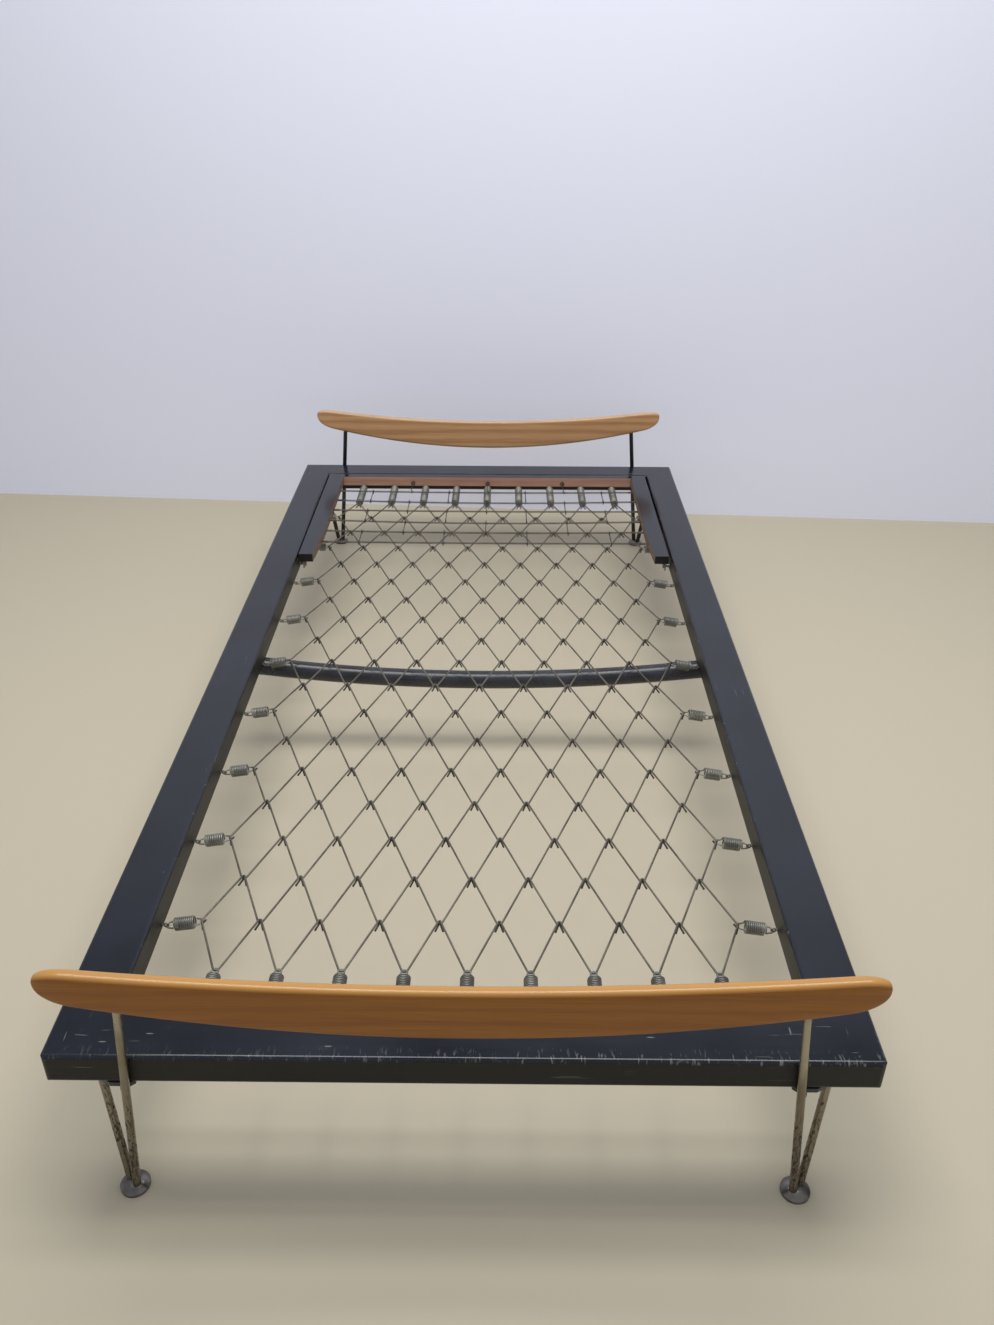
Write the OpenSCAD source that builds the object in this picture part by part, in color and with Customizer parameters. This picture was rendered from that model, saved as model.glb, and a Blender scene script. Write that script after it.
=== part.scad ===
// Low daybed: black rail frame on splayed rod legs, two crescent end boards,
// a sprung wire-link net and a tilting headrest on ratchet stays.
// Origin: middle of the bed on the floor. X across, Y towards the head, Z up.

/* [Frame] */
// Length of the frame over its end rails
bed_len = 1900; // [1800:10:2050]
// Width of the frame over its side rails
bed_w = 950; // [800:10:1200]
// Height of the frame's top above the floor
top_h = 222; // [200:2:300]
// Width of a rail
rail_w = 68; // [60:1:80]
// Thickness of a rail
rail_t = 42; // [38:1:55]
// Rounding of a rail's long edges
rail_edge_r = 5; // [2:0.5:8]
// Rounding of the frame's four corners in plan
corner_r = 8; // [3:1:16]
// Diameter of the corner dowels
dowel_d = 8; // [6:1:10]
// Length of the corner dowels
dowel_len = 40; // [30:2:44]

/* [Legs] */
// Diameter of the leg rods
rod_d = 10; // [8:0.5:12]
// How far a post rod's centre stands outside the end rail
rod_out = 8.5; // [7:0.5:12]
// Post rod's distance in from the side, at the frame's top
post_in = 98; // [80:1:130]
// Post rod's sideways lean, in mm for each mm of height
post_lean = 0.0885; // [0:0.005:0.14]
// Brace rod's top: distance in from the side
brace_in = 50; // [36:1:70]
// Brace rod's top: distance in from the end
brace_back = 30; // [24:1:50]
// Gap between the two rods' centres at the foot
rod_spread = 9; // [8.5:0.5:16]
// Thickness of a leg plate
plate_t = 6; // [4:0.5:10]
// Diameter of a foot disc
disc_d = 36; // [32:1:50]
// Height of a foot disc at its middle
disc_h = 11; // [8:0.5:14]
// Height of a foot disc at its rim
disc_rim = 3.5; // [2:0.5:4]

/* [Boards] */
// Length of the foot end's board, tip to tip
board_len = 900; // [760:2:1100]
// How much shorter the head end's board is
head_board_cut = 22; // [0:2:60]
// Height of a board at its middle
board_h = 70; // [56:1:90]
// Thickness of a board
board_t = 16; // [14:1:22]
// Gap from the frame's top to a board's lowest point
board_gap = 47; // [30:1:80]
// Rise of a board's centre line from its middle to its tips
board_rise = 43; // [20:1:70]
// Loss of height of a board from its middle towards its tips
board_taper = 28; // [10:1:36]
// Length of a board's round nose
nose_len = 43; // [30:1:60]
// Height of a board's tips above its centre line
nose_up = 5; // [0:1:10]
// How far a board's tips bow outwards in plan
board_bow = 5; // [0:0.5:10]
// Depth of the post rod's hole in a board
socket_deep = 26; // [16:1:34]

/* [Net] */
// Rows of links from foot to head
net_rows = 18; // [18:2:18]
// Meshes across the net
net_cols = 9; // [9:2:9]
// Distance of the first row from the frame's foot end
net_foot_gap = 158; // [140:2:200]
// Distance of the last row from the frame's head end
net_head_gap = 205; // [195:1:225]
// Distance of the net's edge from a side rail
net_side_gap = 51.5; // [46:0.5:64]
// Depth of the net below the frame's top
net_drop = 28; // [26:1:30]
// Diameter of the link wire
link_d = 2.9; // [2:0.1:3.2]
// Length of the link ends past each crossing
link_tail = 7; // [5:1:9]
// Outer diameter of the springs
spring_d = 18.5; // [14:0.5:19]
// Wire diameter of the springs
spring_wire = 2.8; // [2:0.1:3]
// Length of a side spring's coiled body
side_body = 26; // [22:1:26]
// Curls in a side spring
side_curls = 6; // [4:1:6]
// Length of a foot spring's coiled body
foot_body = 62; // [40:1:68]
// Length of a head spring's coiled body
head_body = 94; // [60:1:100]
// Length of an arm spring's coiled body
arm_body = 14; // [8:1:14]
// Wire diameter of the screw eyes
eye_wire = 2.2; // [1.6:0.1:2.6]
// Outer diameter of a screw eye's ring
eye_d = 8; // [7:0.5:9]
// Depth of a screw eye's shank in the wood
eye_deep = 16; // [10:1:20]

/* [Cross tube] */
// Diameter of the cross tube
tube_d = 34; // [28:1:38]
// Wall of the cross tube
tube_wall = 2.5; // [1.5:0.5:4]
// Sag of the cross tube between the rails
tube_sag = 26; // [10:1:40]
// How far the cross tube reaches under each rail
tube_lap = 48; // [30:1:54]
// Depth of the tube's notch at a rail's inner face
tube_notch = 5; // [2:0.5:8]

/* [Headrest] */
// Row of the net at which the headrest tilts
hinge_row = 14; // [14:2:14]
// Thickness of the headrest's arms
arm_t = 18; // [15:1:20]
// Width of an arm at its hinge end
arm_w_low = 30; // [28:1:34]
// Width of an arm at the head end
arm_w_head = 37; // [32:1:42]
// Length of an arm past its hinge pin
arm_over = 14; // [12:1:20]
// Gap between an arm and its side rail
arm_gap = 4; // [3.6:0.1:6]
// Sideways play taken up by the headrest
headrest_shift = -1.5; // [-1.5:0.5:1.5]
// Gap between the headrest and the head rail
headrest_gap = 2; // [1.5:0.5:4]
// Depth of the crossbar, foot to head
bar_w = 20; // [18:1:26]
// Height of the crossbar
bar_t = 23; // [20:0.5:23.5]
// Length of a stay, and distance of its pivot from the hinge pin
stay_len = 200; // [180:2:205]
// Width of a stay
stay_w = 12; // [10:1:13]
// Thickness of the stays, lugs and racks
steel_t = 3; // [2.5:0.5:3]
// Diameter of the hinge pins
pin_d = 8; // [6:0.5:9]
// Diameter of the stays' pivot and end pins
stay_pin_d = 6; // [5:0.5:7]
// Notches in a rack
rack_notches = 5; // [3:1:6]

/* [Headrest web] */
// Number of long thin springs across the headrest
web_count = 6; // [4:1:6]
// Diameter of a web spring
web_d = 5.6; // [4:0.2:6.4]
// Distance between web springs
web_pitch = 62; // [56:1:64]
// Distance of the first web spring from the crossbar
web_first = 69; // [60:1:74]
// Depth of the web springs below the frame's top
web_drop = 11; // [9:0.5:12]
// Spacing of the web's short links along a spring
web_step = 190; // [160:5:200]
// Wire diameter of the web's short links
web_wire = 2.4; // [1.8:0.1:2.8]

/* [Hidden] */

$fn = 48;
run_gap = 0.05;            // radial running clearance at a pivot
fit_gap = 0.1;             // radial clearance round fixed dowels, rods and screws
seat_gap = 0.4;            // gap where two wires meet
cut = 1;                   // overrun of a cutting solid
lacquer = "#2b2d33";
beech = "#b5793f";
bare_wood = "#a5694e";
wire_grey = "#6f6c60";
rod_grey = "#9a9488";
tube_black = "#26272b";

frame_low = top_h - rail_t;
half_w = bed_w / 2;
half_len = bed_len / 2;
in_x = half_w - rail_w;    // inner faces of the side rails
in_y = half_len - rail_w;  // inner faces of the end rails
net_z = top_h - net_drop;

// ---- general shapes ----

// Round bar from point p to point q
module bar(p, q, r, sides = 24) {
    d = q - p;
    translate(p) rotate([0, acos(d.z / norm(d)), atan2(d.y, d.x)])
        cylinder(h = norm(d), r = r, $fn = sides);
}

// Plan or profile rectangle from point a to point b with round corners
module round_rect(a, b, r) {
    translate([a.x + r, a.y]) square([b.x - a.x - 2 * r, b.y - a.y]);
    translate([a.x, a.y + r]) square([b.x - a.x, b.y - a.y - 2 * r]);
    for (x = [a.x + r, b.x - r], y = [a.y + r, b.y - r]) translate([x, y]) circle(r = r);
}

// Tube swept along points, with one ring of points at each, as one closed solid
module swept_tube(rings) {
    n = len(rings);
    m = len(rings[0]);
    points = [for (ring = rings) each ring];
    sides = [for (i = [0 : n - 2], j = [0 : m - 1])
        let (a = i * m + j, b = i * m + (j + 1) % m, c = a + m, d = b + m) each [[a, c, b], [b, c, d]]];
    caps = [for (j = [1 : m - 2]) each [[0, j, j + 1],
        [(n - 1) * m, (n - 1) * m + j + 1, (n - 1) * m + j]]];
    polyhedron(points = points, faces = concat(sides, caps), convexity = 8);
}

// ---- rail frame ----

module frame_plan(points) {
    intersection() {
        polygon(points);
        round_rect([-half_w, -half_len], [half_w, half_len], corner_r);
    }
}

// Rail profile in X and Z, from x to x + rail_w
module rail_profile(x) {
    round_rect([x, frame_low], [x + rail_w, top_h], rail_edge_r);
}

// Centre of corner dowel i at a corner, along the mitre
dowel_spacing = rail_w * 0.53;
function dowel_at(sx, sy, i) = [
    sx * (half_w - rail_w / 2 + (i - 0.5) * dowel_spacing / sqrt(2)),
    sy * (half_len - rail_w / 2 + (i - 0.5) * dowel_spacing / sqrt(2)), top_h - rail_t / 2];

module corner_dowel_set(extra) {
    for (sx = [-1, 1], sy = [-1, 1], i = [0, 1]) {
        along = [sx, -sy, 0] / sqrt(2) * (dowel_len / 2 + extra);
        bar(dowel_at(sx, sy, i) - along, dowel_at(sx, sy, i) + along, dowel_d / 2 + extra);
    }
}

module side_rail(s) {
    color(lacquer) difference() {
        intersection() {
            translate([0, half_len, 0]) rotate([90, 0, 0]) linear_extrude(bed_len)
                rail_profile(s > 0 ? in_x : -half_w);
            linear_extrude(top_h + cut) frame_plan(
                [[s * half_w, -half_len], [s * half_w, half_len], [s * in_x, in_y], [s * in_x, -in_y]]);
        }
        corner_dowel_set(fit_gap);
        tube_body(tube_d / 2 + 0.3, 0.005);
        side_eyes(s, fit_gap);
        hinge_pin_shaft(s, fit_gap);
        for (i = [0, 1]) tube_screw(s, i, fit_gap);
        for (i = [0, 1]) rack_screw(s, i, fit_gap);
        for (sy = [-1, 1], i = [0 : 2]) leg_screw(s, sy, i, fit_gap);
    }
}

module end_rail(s) {
    color(lacquer) difference() {
        intersection() {
            translate([-half_w, 0, 0]) rotate([90, 0, 90]) linear_extrude(bed_w)
                rail_profile(s > 0 ? in_y : -half_len);
            linear_extrude(top_h + cut) frame_plan(
                [[-half_w, s * half_len], [half_w, s * half_len], [in_x, s * in_y], [-in_x, s * in_y]]);
        }
        corner_dowel_set(fit_gap);
        if (s < 0) foot_eyes(fit_gap);
        for (sx = [-1, 1], i = [0 : 2]) leg_screw(sx, s, i, fit_gap);
    }
}

module side_rail_left() side_rail(-1);
module side_rail_right() side_rail(1);
module foot_rail() end_rail(-1);
module head_rail() end_rail(1);
module corner_dowels() color(beech) corner_dowel_set(0);

// ---- legs ----

rod_y = half_len + rod_out;
foot_z = 4;                // where the rods end inside the foot disc
function post_x(z) = half_w - post_in + post_lean * (top_h - z);
post_foot = [post_x(foot_z), rod_y, foot_z];
disc_x = post_x(foot_z) + rod_spread / 2 - 1;
brace_foot = [post_foot.x + rod_spread, half_len + 1, foot_z];
plate_low = frame_low - plate_t;
brace_top = [half_w - brace_in, half_len - brace_back, plate_low];

// The brace rod passes through an upright hole in the plate and ends just under the rail
brace_play = 1;
brace_run = brace_top - brace_foot;
brace_lean = norm([brace_run.x, brace_run.y]) / norm(brace_run);
brace_hole = brace_top + brace_run * (plate_t / 2) / brace_run.z - [0, 0, plate_t / 2 + cut];
brace_end = brace_foot + brace_run * (frame_low - foot_z - rod_d / 2 * brace_lean - 0.2) / brace_run.z;

function corner(sx, sy, p) = [sx * p.x, sy * p.y, p.z];

module post_rod(sx, sy, extra = 0, top = post_top_z + socket_deep - 1) {
    bar(corner(sx, sy, post_foot), corner(sx, sy, [post_x(top), rod_y, top]), rod_d / 2 + extra);
}

module brace_rod(sx, sy, extra = 0) {
    bar(corner(sx, sy, brace_foot), corner(sx, sy, brace_end), rod_d / 2 + extra);
}

module foot_disc(sx, sy) {
    dome_r = (pow(disc_d / 2, 2) + pow(disc_h - disc_rim, 2)) / (2 * (disc_h - disc_rim));
    color(rod_grey) difference() {
        translate([sx * disc_x, sy * (half_len + rod_out / 2), 0]) intersection() {
            cylinder(h = disc_h + cut, d = disc_d, $fn = 64);
            translate([0, 0, disc_h - dome_r]) sphere(r = dome_r, $fn = 96);
        }
        post_rod(sx, sy, fit_gap);
        brace_rod(sx, sy, fit_gap);
    }
}

// Plate outline in the corner at +X and +Y, from a tongue behind the post rod to the brace rod
tongue_w = rod_d / 2 + 2;
tongue_in = 2;
plate_x0 = post_x(frame_low);
plate_x1 = half_w - brace_in + rod_d / 2 + 7;
plate_y0 = half_len - 62;
plate_points = [[plate_x0 - tongue_in, rod_y - 2], [plate_x0 + tongue_w, rod_y - 2],
    [plate_x0 + tongue_w, half_len], [plate_x0 + 21, half_len], [plate_x1, half_len - brace_back + 12],
    [plate_x1, plate_y0], [plate_x0 + 24, plate_y0], [plate_x0 - tongue_w, half_len - brace_back - 6],
    [plate_x0 - tongue_w, half_len - 4], [plate_x0 - tongue_in, half_len]];
plate_screw_points = [[plate_x0 + 3, half_len - 22], [plate_x0 + 32, plate_y0 + 8],
    [plate_x1 - 10, plate_y0 + 10]];

module leg_screw(sx, sy, i, extra = 0) {
    p = plate_screw_points[i];
    head = [[0, -0.2], [3.9 + extra, -0.2], [2 + extra, 2.6], [2 + extra, plate_t + 14], [0, plate_t + 14]];
    translate([sx * p.x, sy * p.y, plate_low]) rotate_extrude($fn = 32) polygon(head);
}

module leg_plate(sx, sy) {
    color(lacquer) difference() {
        translate([0, 0, plate_low]) linear_extrude(plate_t)
            polygon([for (p = plate_points) [sx * p.x, sy * p.y]]);
        post_rod(sx, sy, fit_gap);
        translate(corner(sx, sy, brace_hole)) cylinder(h = plate_t + 2 * cut, r = rod_d / 2 + brace_play);
        for (i = [0 : 2]) leg_screw(sx, sy, i, fit_gap);
    }
}

module post_rod_foot_left() color(rod_grey) post_rod(-1, -1);
module post_rod_foot_right() color(rod_grey) post_rod(1, -1);
module post_rod_head_left() color(rod_grey) post_rod(-1, 1);
module post_rod_head_right() color(rod_grey) post_rod(1, 1);
module brace_rod_foot_left() color(rod_grey) brace_rod(-1, -1);
module brace_rod_foot_right() color(rod_grey) brace_rod(1, -1);
module brace_rod_head_left() color(rod_grey) brace_rod(-1, 1);
module brace_rod_head_right() color(rod_grey) brace_rod(1, 1);
module foot_disc_foot_left() foot_disc(-1, -1);
module foot_disc_foot_right() foot_disc(1, -1);
module foot_disc_head_left() foot_disc(-1, 1);
module foot_disc_head_right() foot_disc(1, 1);
module leg_plate_foot_left() leg_plate(-1, -1);
module leg_plate_foot_right() leg_plate(1, -1);
module leg_plate_head_left() leg_plate(-1, 1);
module leg_plate_head_right() leg_plate(1, 1);
module leg_screws() color(rod_grey)
    for (sx = [-1, 1], sy = [-1, 1], i = [0 : 2]) leg_screw(sx, sy, i);

// ---- end boards ----

half_board = board_len / 2;
nose_power = 2.6;          // 2 gives an ellipse, more a blunter nose

// Centre line, nose, half height and place in plan of a board at x; half is its half length
function board_mid(x, half) = top_h + board_gap + board_h / 2 + board_rise * pow(x / half, 2);
function nose(x, half) = abs(x) < half - nose_len ? 1
    : pow(max(0, 1 - pow((abs(x) - half + nose_len) / nose_len, nose_power)), 1 / nose_power);
function board_half(x, half) = (board_h / 2 - board_taper / 2 * pow(x / half, 2)) * nose(x, half);
function board_y(x, half) = rod_y + board_bow * (pow(x / half, 2) - pow(post_x(top_h) / half, 2));

// Height of the board's underside where the post rod enters it
post_top_x = post_x(top_h + board_gap);
post_top_z = board_mid(post_top_x, half_board) - board_half(post_top_x, half_board);

// Stations along the board: even in the middle, closing up round each nose
nose_steps = 8;
mid_steps = 18;
function nose_x(i, half) = half - nose_len * (1 - sin(i * 89 / nose_steps));
function board_stations(half) = concat([for (i = [nose_steps : -1 : 1]) -nose_x(i, half)],
    [for (i = [0 : mid_steps]) (half - nose_len) * (2 * i / mid_steps - 1)],
    [for (i = [1 : nose_steps]) nose_x(i, half)]);

// Ring of points round the board at x: a rectangle with round corners
board_edge_r = 6;
function board_ring(x, half) = let (
        hz = board_half(x, half),
        z = board_mid(x, half) + nose_up * (1 - nose(x, half)),
        hy = board_t / 2 * (0.35 + 0.65 * nose(x, half)) * min(1, hz / 6 + 0.2),
        r = min(board_edge_r, hz * 0.8, hy * 0.8))
    [for (k = [0 : 3], i = [0 : 3]) let (
            a = 90 * k + 30 * i,
            sy = (k == 0 || k == 3) ? 1 : -1,
            sz = k < 2 ? 1 : -1)
        [x, board_y(x, half) + sy * (hy - r) + r * cos(a), z + sz * (hz - r) + r * sin(a)]];

module board(half) {
    color(beech) difference() {
        swept_tube([for (x = board_stations(half)) board_ring(x, half)]);
        for (sx = [-1, 1]) post_rod(sx, 1, fit_gap, post_top_z + socket_deep);
    }
}

module footboard() mirror([0, 1, 0]) board(half_board);
module headboard() board(half_board - head_board_cut / 2);

// ---- cross tube ----

tube_z = frame_low - tube_d / 2 + tube_notch;   // centre of the tube at the rails' inner faces
tube_bend_r = (in_x * in_x + tube_sag * tube_sag) / (2 * tube_sag);
tube_angle = asin((in_x + tube_lap) / tube_bend_r);

module tube_body(r, over = 0) {
    translate([0, 0, tube_z - tube_sag + tube_bend_r]) rotate([90, 90 + tube_angle + over, 0])
        rotate_extrude(angle = 2 * (tube_angle + over), $fn = 1080) translate([tube_bend_r, 0]) circle(r = r);
}

module tube_screw(s, i, extra = 0) {
    x = in_x + 10 + i * (tube_lap - 20);
    tube_low = tube_z + (x * x - in_x * in_x) / (2 * tube_bend_r) - tube_d / 2;
    translate([s * x, 0, tube_low - 1]) {
        cylinder(h = tube_d + 17, r = 2 + extra, $fn = 32);
        cylinder(h = 3, r = 4 + extra, $fn = 32);
    }
}

module cross_tube() color(tube_black) difference() {
    tube_body(tube_d / 2);
    tube_body(tube_d / 2 - tube_wall, 0.05);
    for (s = [-1, 1], i = [0, 1]) tube_screw(s, i, fit_gap);
}

module tube_screws() color(rod_grey) for (s = [-1, 1], i = [0, 1]) tube_screw(s, i);

// ---- net of wire links ----

row_pitch = (bed_len - net_foot_gap - net_head_gap) / net_rows;
col_pitch = 2 * (in_x - net_side_gap) / net_cols;
edge_x = in_x - net_side_gap;
link_lift = link_d + seat_gap;
link_bend = 3;             // centre radius of a link's bend
wire_joint = 0.02;         // hairline between a link's bend and its legs, which stay separate solids
hinge_short = 4.5;         // the last links before the hinge row end this far short of it
hinge_y = row_y(hinge_row);
function row_y(k) = net_foot_gap - half_len + k * row_pitch;
function odd(k) = k % 2 == 1;

// A link is a V with its bend towards the foot. It lies in a plane tilted so that its ends
// pass over (even i) or under (odd i) the bends of the next row.
link_long = norm([row_pitch, link_lift]);
link_tilt = asin(link_lift / link_long);
function bend_ahead(h) = link_bend / sin(h) - link_bend + link_d / 2;
function half_angle(n) = atan(col_pitch / 2 / (link_long + (n == 0 ? 0 : bend_ahead(half_angle(n - 1)))));
link_half_angle = half_angle(16);
link_ahead = bend_ahead(link_half_angle);
module in_link_plane(x, k, i) {
    translate([x, row_y(k), net_z]) rotate([odd(i) ? -link_tilt : link_tilt, 0, 0]) children();
}

// One leg towards side s from distance `skip` to its end, seen from the point where both legs would meet
module link_leg(s, skip, tail) {
    from = [0, -link_ahead, 0];
    to = [s * col_pitch / 2, link_long, 0];
    along = (to - from) / norm(to - from);
    bar(from + along * skip, to + along * tail, link_d / 2, 20);
}

module link(x, k, i, tail) {
    in_link_plane(x, k, i) {
        for (s = [-1, 1]) link_leg(s, link_bend / tan(link_half_angle) + wire_joint, tail);
        translate([0, link_bend / sin(link_half_angle) - link_ahead, 0])
            rotate([0, 0, 180 + link_half_angle])
                rotate_extrude(angle = 180 - 2 * link_half_angle, $fn = 40)
                    translate([link_bend, 0]) circle(d = link_d, $fn = 20);
    }
}

// End of the single leg of an edge link, seen from its crossing
function half_link_end(s, tail) = let (to = [s * col_pitch / 2, link_long, 0]) to * (1 + tail / norm(to));

// Links with their bends on rows first to last; those that reach the hinge row end just short of it
module links(first, last) {
    for (k = [first : last]) {
        tail = k + 1 == hinge_row ? -hinge_short : link_tail;
        inner = (net_cols - (odd(k) ? 2 : 1)) / 2;
        for (i = [0 : 2 * inner]) link((i - inner) * col_pitch, k, i, tail);
        if (odd(k)) for (s = [-1, 1]) in_link_plane(s * edge_x, k, s > 0 ? 0 : 1)
            bar([0, 0, 0], half_link_end(-s, tail), link_d / 2, 20);
    }
}

module net_links_main() color(wire_grey) links(0, hinge_row - 1);
module net_links_head() color(wire_grey) links(hinge_row, net_rows - 1);

// ---- springs ----

// Screw eye: a ring at its reach from the face at the origin, shank along -X into the wood
eye_reach = 9.5;
eye_ring_r = (eye_d - eye_wire) / 2;
module eye(extra = 0) {
    if (extra == 0) translate([eye_reach - eye_d / 2, 0, 0]) rotate([90, 0, 0])
        rotate_extrude($fn = 32) translate([eye_ring_r, 0]) circle(d = eye_wire, $fn = 16);
    translate([-eye_deep, 0, 0]) rotate([0, 90, 0])
        cylinder(h = eye_deep + eye_reach - eye_d + eye_wire / 2, d = eye_wire + 2 * extra, $fn = 20);
}

side_drop = 7;             // the side eyes sit this much below the net
side_rows = [for (k = [1 : 2 : hinge_row - 1]) k];
arm_rows = [for (k = [hinge_row + 1 : 2 : net_rows - 1]) k];
spring_start = link_d + 0.6;   // from a crossing to the spring's first end
side_slope = atan2(side_drop, net_side_gap - eye_reach);
side_run = (net_side_gap - eye_reach - seat_gap) / cos(side_slope);

module side_eyes(s, extra = 0) {
    for (k = side_rows)
        translate([s * in_x, row_y(k), net_z - side_drop]) rotate([0, 0, s > 0 ? 180 : 0]) eye(extra);
}

module foot_eyes(extra = 0) {
    for (i = [0 : net_cols - 1])
        translate([(i - (net_cols - 1) / 2) * col_pitch, -in_y, net_z]) rotate([0, 0, 90]) eye(extra);
}

module rail_eyes() color(wire_grey) {
    side_eyes(-1);
    side_eyes(1);
    foot_eyes();
}

// Coil path along +X: straight end, curls that open from and close to the axis, straight end
curl_rings = 8;
coil_r = (spring_d - spring_wire) / 2;
function coil_path(start, run, body, curls) = let (
        lead = (run - start - body) / 2,
        n = curls * curl_rings)
    concat([[start, 0, 0], [start + lead - spring_wire, 0, 0]],
        [for (i = [0 : n]) let (
                t = i / n,
                r = coil_r * min(1, t * curls * 1.6, (1 - t) * curls * 1.6),
                a = 360 * curls * t)
            [start + lead + body * t, r * cos(a), r * sin(a)]],
        [[run - lead + spring_wire, 0, 0], [run, 0, 0]]);

// Rings of six points square to the path, carried along without twisting
function unit(v) = v / norm(v);
function path_dir(p, i) = unit(p[min(i + 1, len(p) - 1)] - p[max(i - 1, 0)]);
function carried(n, d) = unit(n - d * (n * d));
function normals(p, i, n) = i == len(p) ? []
    : let (m = carried(n, path_dir(p, i))) concat([m], normals(p, i + 1, m));
function wire_rings(p, r) = let (ns = normals(p, 0, [0, 0, 1]))
    [for (i = [0 : len(p) - 1]) let (u = ns[i], v = cross(path_dir(p, i), u))
        [for (j = [0 : 5]) p[i] + r * (cos(60 * j) * u + sin(60 * j) * v)]];

// Least clear distance of a coil to itself, between points half a curl or more apart
function coil_gap(p, d) = min([for (i = [0 : len(p) - 1], j = [i + curl_rings / 2 : 1 : len(p) - 1])
    norm(p[i] - p[j])]) - d;

side_path = coil_path(spring_start, side_run, side_body, side_curls);
echo(side_spring_least_gap = coil_gap(side_path, spring_wire));

module side_springs(s) {
    color(wire_grey) for (k = side_rows)
        translate([s * edge_x, row_y(k), net_z]) rotate([0, 0, s > 0 ? 0 : 180]) rotate([0, side_slope, 0])
            swept_tube(wire_rings(side_path, spring_wire / 2));
}

module side_springs_left() side_springs(-1);
module side_springs_right() side_springs(1);

// Close-wound spring along +X as a plain sleeve with a wire end bent in at each mouth
module plain_spring(start, run, body) {
    lead = (run - start - body) / 2;
    translate([start + lead, 0, 0]) rotate([0, 90, 0]) difference() {
        cylinder(h = body, d = spring_d);
        translate([0, 0, -cut]) cylinder(h = body + 2 * cut, d = spring_d - 2 * spring_wire);
    }
    for (x = [start + lead + spring_wire / 2, run - lead - spring_wire / 2])
        bar([x, 0, -coil_r], [x, 0, coil_r], spring_wire / 2, 20);
    bar([start, 0, 0], [start + lead + spring_wire / 2, 0, 0], spring_wire / 2 - 0.2, 20);
    bar([run - lead - spring_wire / 2, 0, 0], [run, 0, 0], spring_wire / 2 - 0.2, 20);
}

foot_run = row_y(0) + in_y - eye_reach - seat_gap;
module foot_springs() {
    color(wire_grey) for (i = [0 : net_cols - 1])
        translate([(i - (net_cols - 1) / 2) * col_pitch, row_y(0), net_z]) rotate([0, 0, -90])
            plain_spring(spring_start, foot_run, foot_body);
}

head_eye_y = in_y - headrest_gap - bar_w / 2 + 2;
head_run = head_eye_y - row_y(net_rows) - eye_d / 2 - seat_gap;
module head_springs() {
    color(wire_grey) for (i = [0 : net_cols - 1])
        translate([(i - (net_cols - 1) / 2) * col_pitch, row_y(net_rows), net_z]) rotate([0, 0, 90])
            plain_spring(spring_start, head_run, head_body);
}

arm_eye_x = in_x - arm_gap - arm_w_head / 2;
arm_run = arm_eye_x - edge_x - eye_d / 2 - seat_gap;
module arm_springs() {
    color(wire_grey) for (s = [-1, 1], k = arm_rows)
        translate([s * edge_x, row_y(k), net_z]) rotate([0, 0, s > 0 ? 0 : 180])
            plain_spring(spring_start, arm_run, arm_body);
}

// Eye screwed up into a face above the net, its ring at the net's height
module hanging_eye(face_z, turn, extra = 0) {
    if (extra == 0) rotate([0, 0, turn]) rotate([90, 0, 0]) rotate_extrude($fn = 32)
        translate([eye_ring_r, 0]) circle(d = eye_wire, $fn = 16);
    translate([0, 0, eye_ring_r])
        cylinder(h = face_z - net_z - eye_ring_r + 12, d = eye_wire + 2 * extra, $fn = 20);
}

module headrest_eye_set(extra = 0) {
    for (i = [0 : net_cols - 1])
        translate([(i - (net_cols - 1) / 2) * col_pitch, head_eye_y, net_z])
            hanging_eye(top_h - bar_t, 90, extra);
    for (s = [-1, 1], k = arm_rows)
        translate([s * arm_eye_x, row_y(k), net_z]) hanging_eye(top_h - arm_t, 0, extra);
}

module headrest_eyes() color(wire_grey) headrest_eye_set();

// ---- headrest ----

arm_y0 = hinge_y - arm_over;
arm_y1 = in_y - headrest_gap;
bar_y0 = arm_y1 - bar_w;
arm_out = in_x - arm_gap;
flare_len = 120;           // the arm's inner edge widens over this length

// Inner edge of an arm at y, before the sideways play
function arm_in(y) = arm_out - arm_w_low
    - (arm_w_head - arm_w_low) * min(1, (y - arm_y0) / flare_len);

module arm_dowel(s, i, extra = 0) {
    y = bar_y0 + bar_w / 2;
    z = top_h - arm_t / 2;
    x = arm_out - arm_w_head;
    translate([headrest_shift, 0, 0])
        bar([s * (x - 15 - extra), y + (i - 0.5) * 10, z], [s * (x + 15 + extra), y + (i - 0.5) * 10, z],
            3 + extra);
}

module headrest_arm(s) {
    color(lacquer) difference() {
        translate([headrest_shift, 0, top_h - arm_t]) linear_extrude(arm_t)
            polygon([[s * arm_out, arm_y0], [s * arm_out, arm_y1], [s * arm_in(arm_y1), arm_y1],
                [s * arm_in(arm_y0 + flare_len), arm_y0 + flare_len], [s * arm_in(arm_y0), arm_y0]]);
        for (i = [0, 1]) arm_dowel(s, i, fit_gap);
        lug_screws_of(s, fit_gap);
        headrest_eye_set(fit_gap);
    }
}

module headrest_crossbar() {
    color(bare_wood) difference() {
        translate([headrest_shift - arm_in(arm_y1), bar_y0, top_h - bar_t])
            cube([2 * arm_in(arm_y1), bar_w, bar_t]);
        for (s = [-1, 1], i = [0, 1]) arm_dowel(s, i, fit_gap);
        headrest_eye_set(fit_gap);
    }
}

module headrest_arm_left() headrest_arm(-1);
module headrest_arm_right() headrest_arm(1);
module headrest_dowels() color(beech) for (s = [-1, 1], i = [0, 1]) arm_dowel(s, i);

// ---- hinge, stays and racks ----

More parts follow.
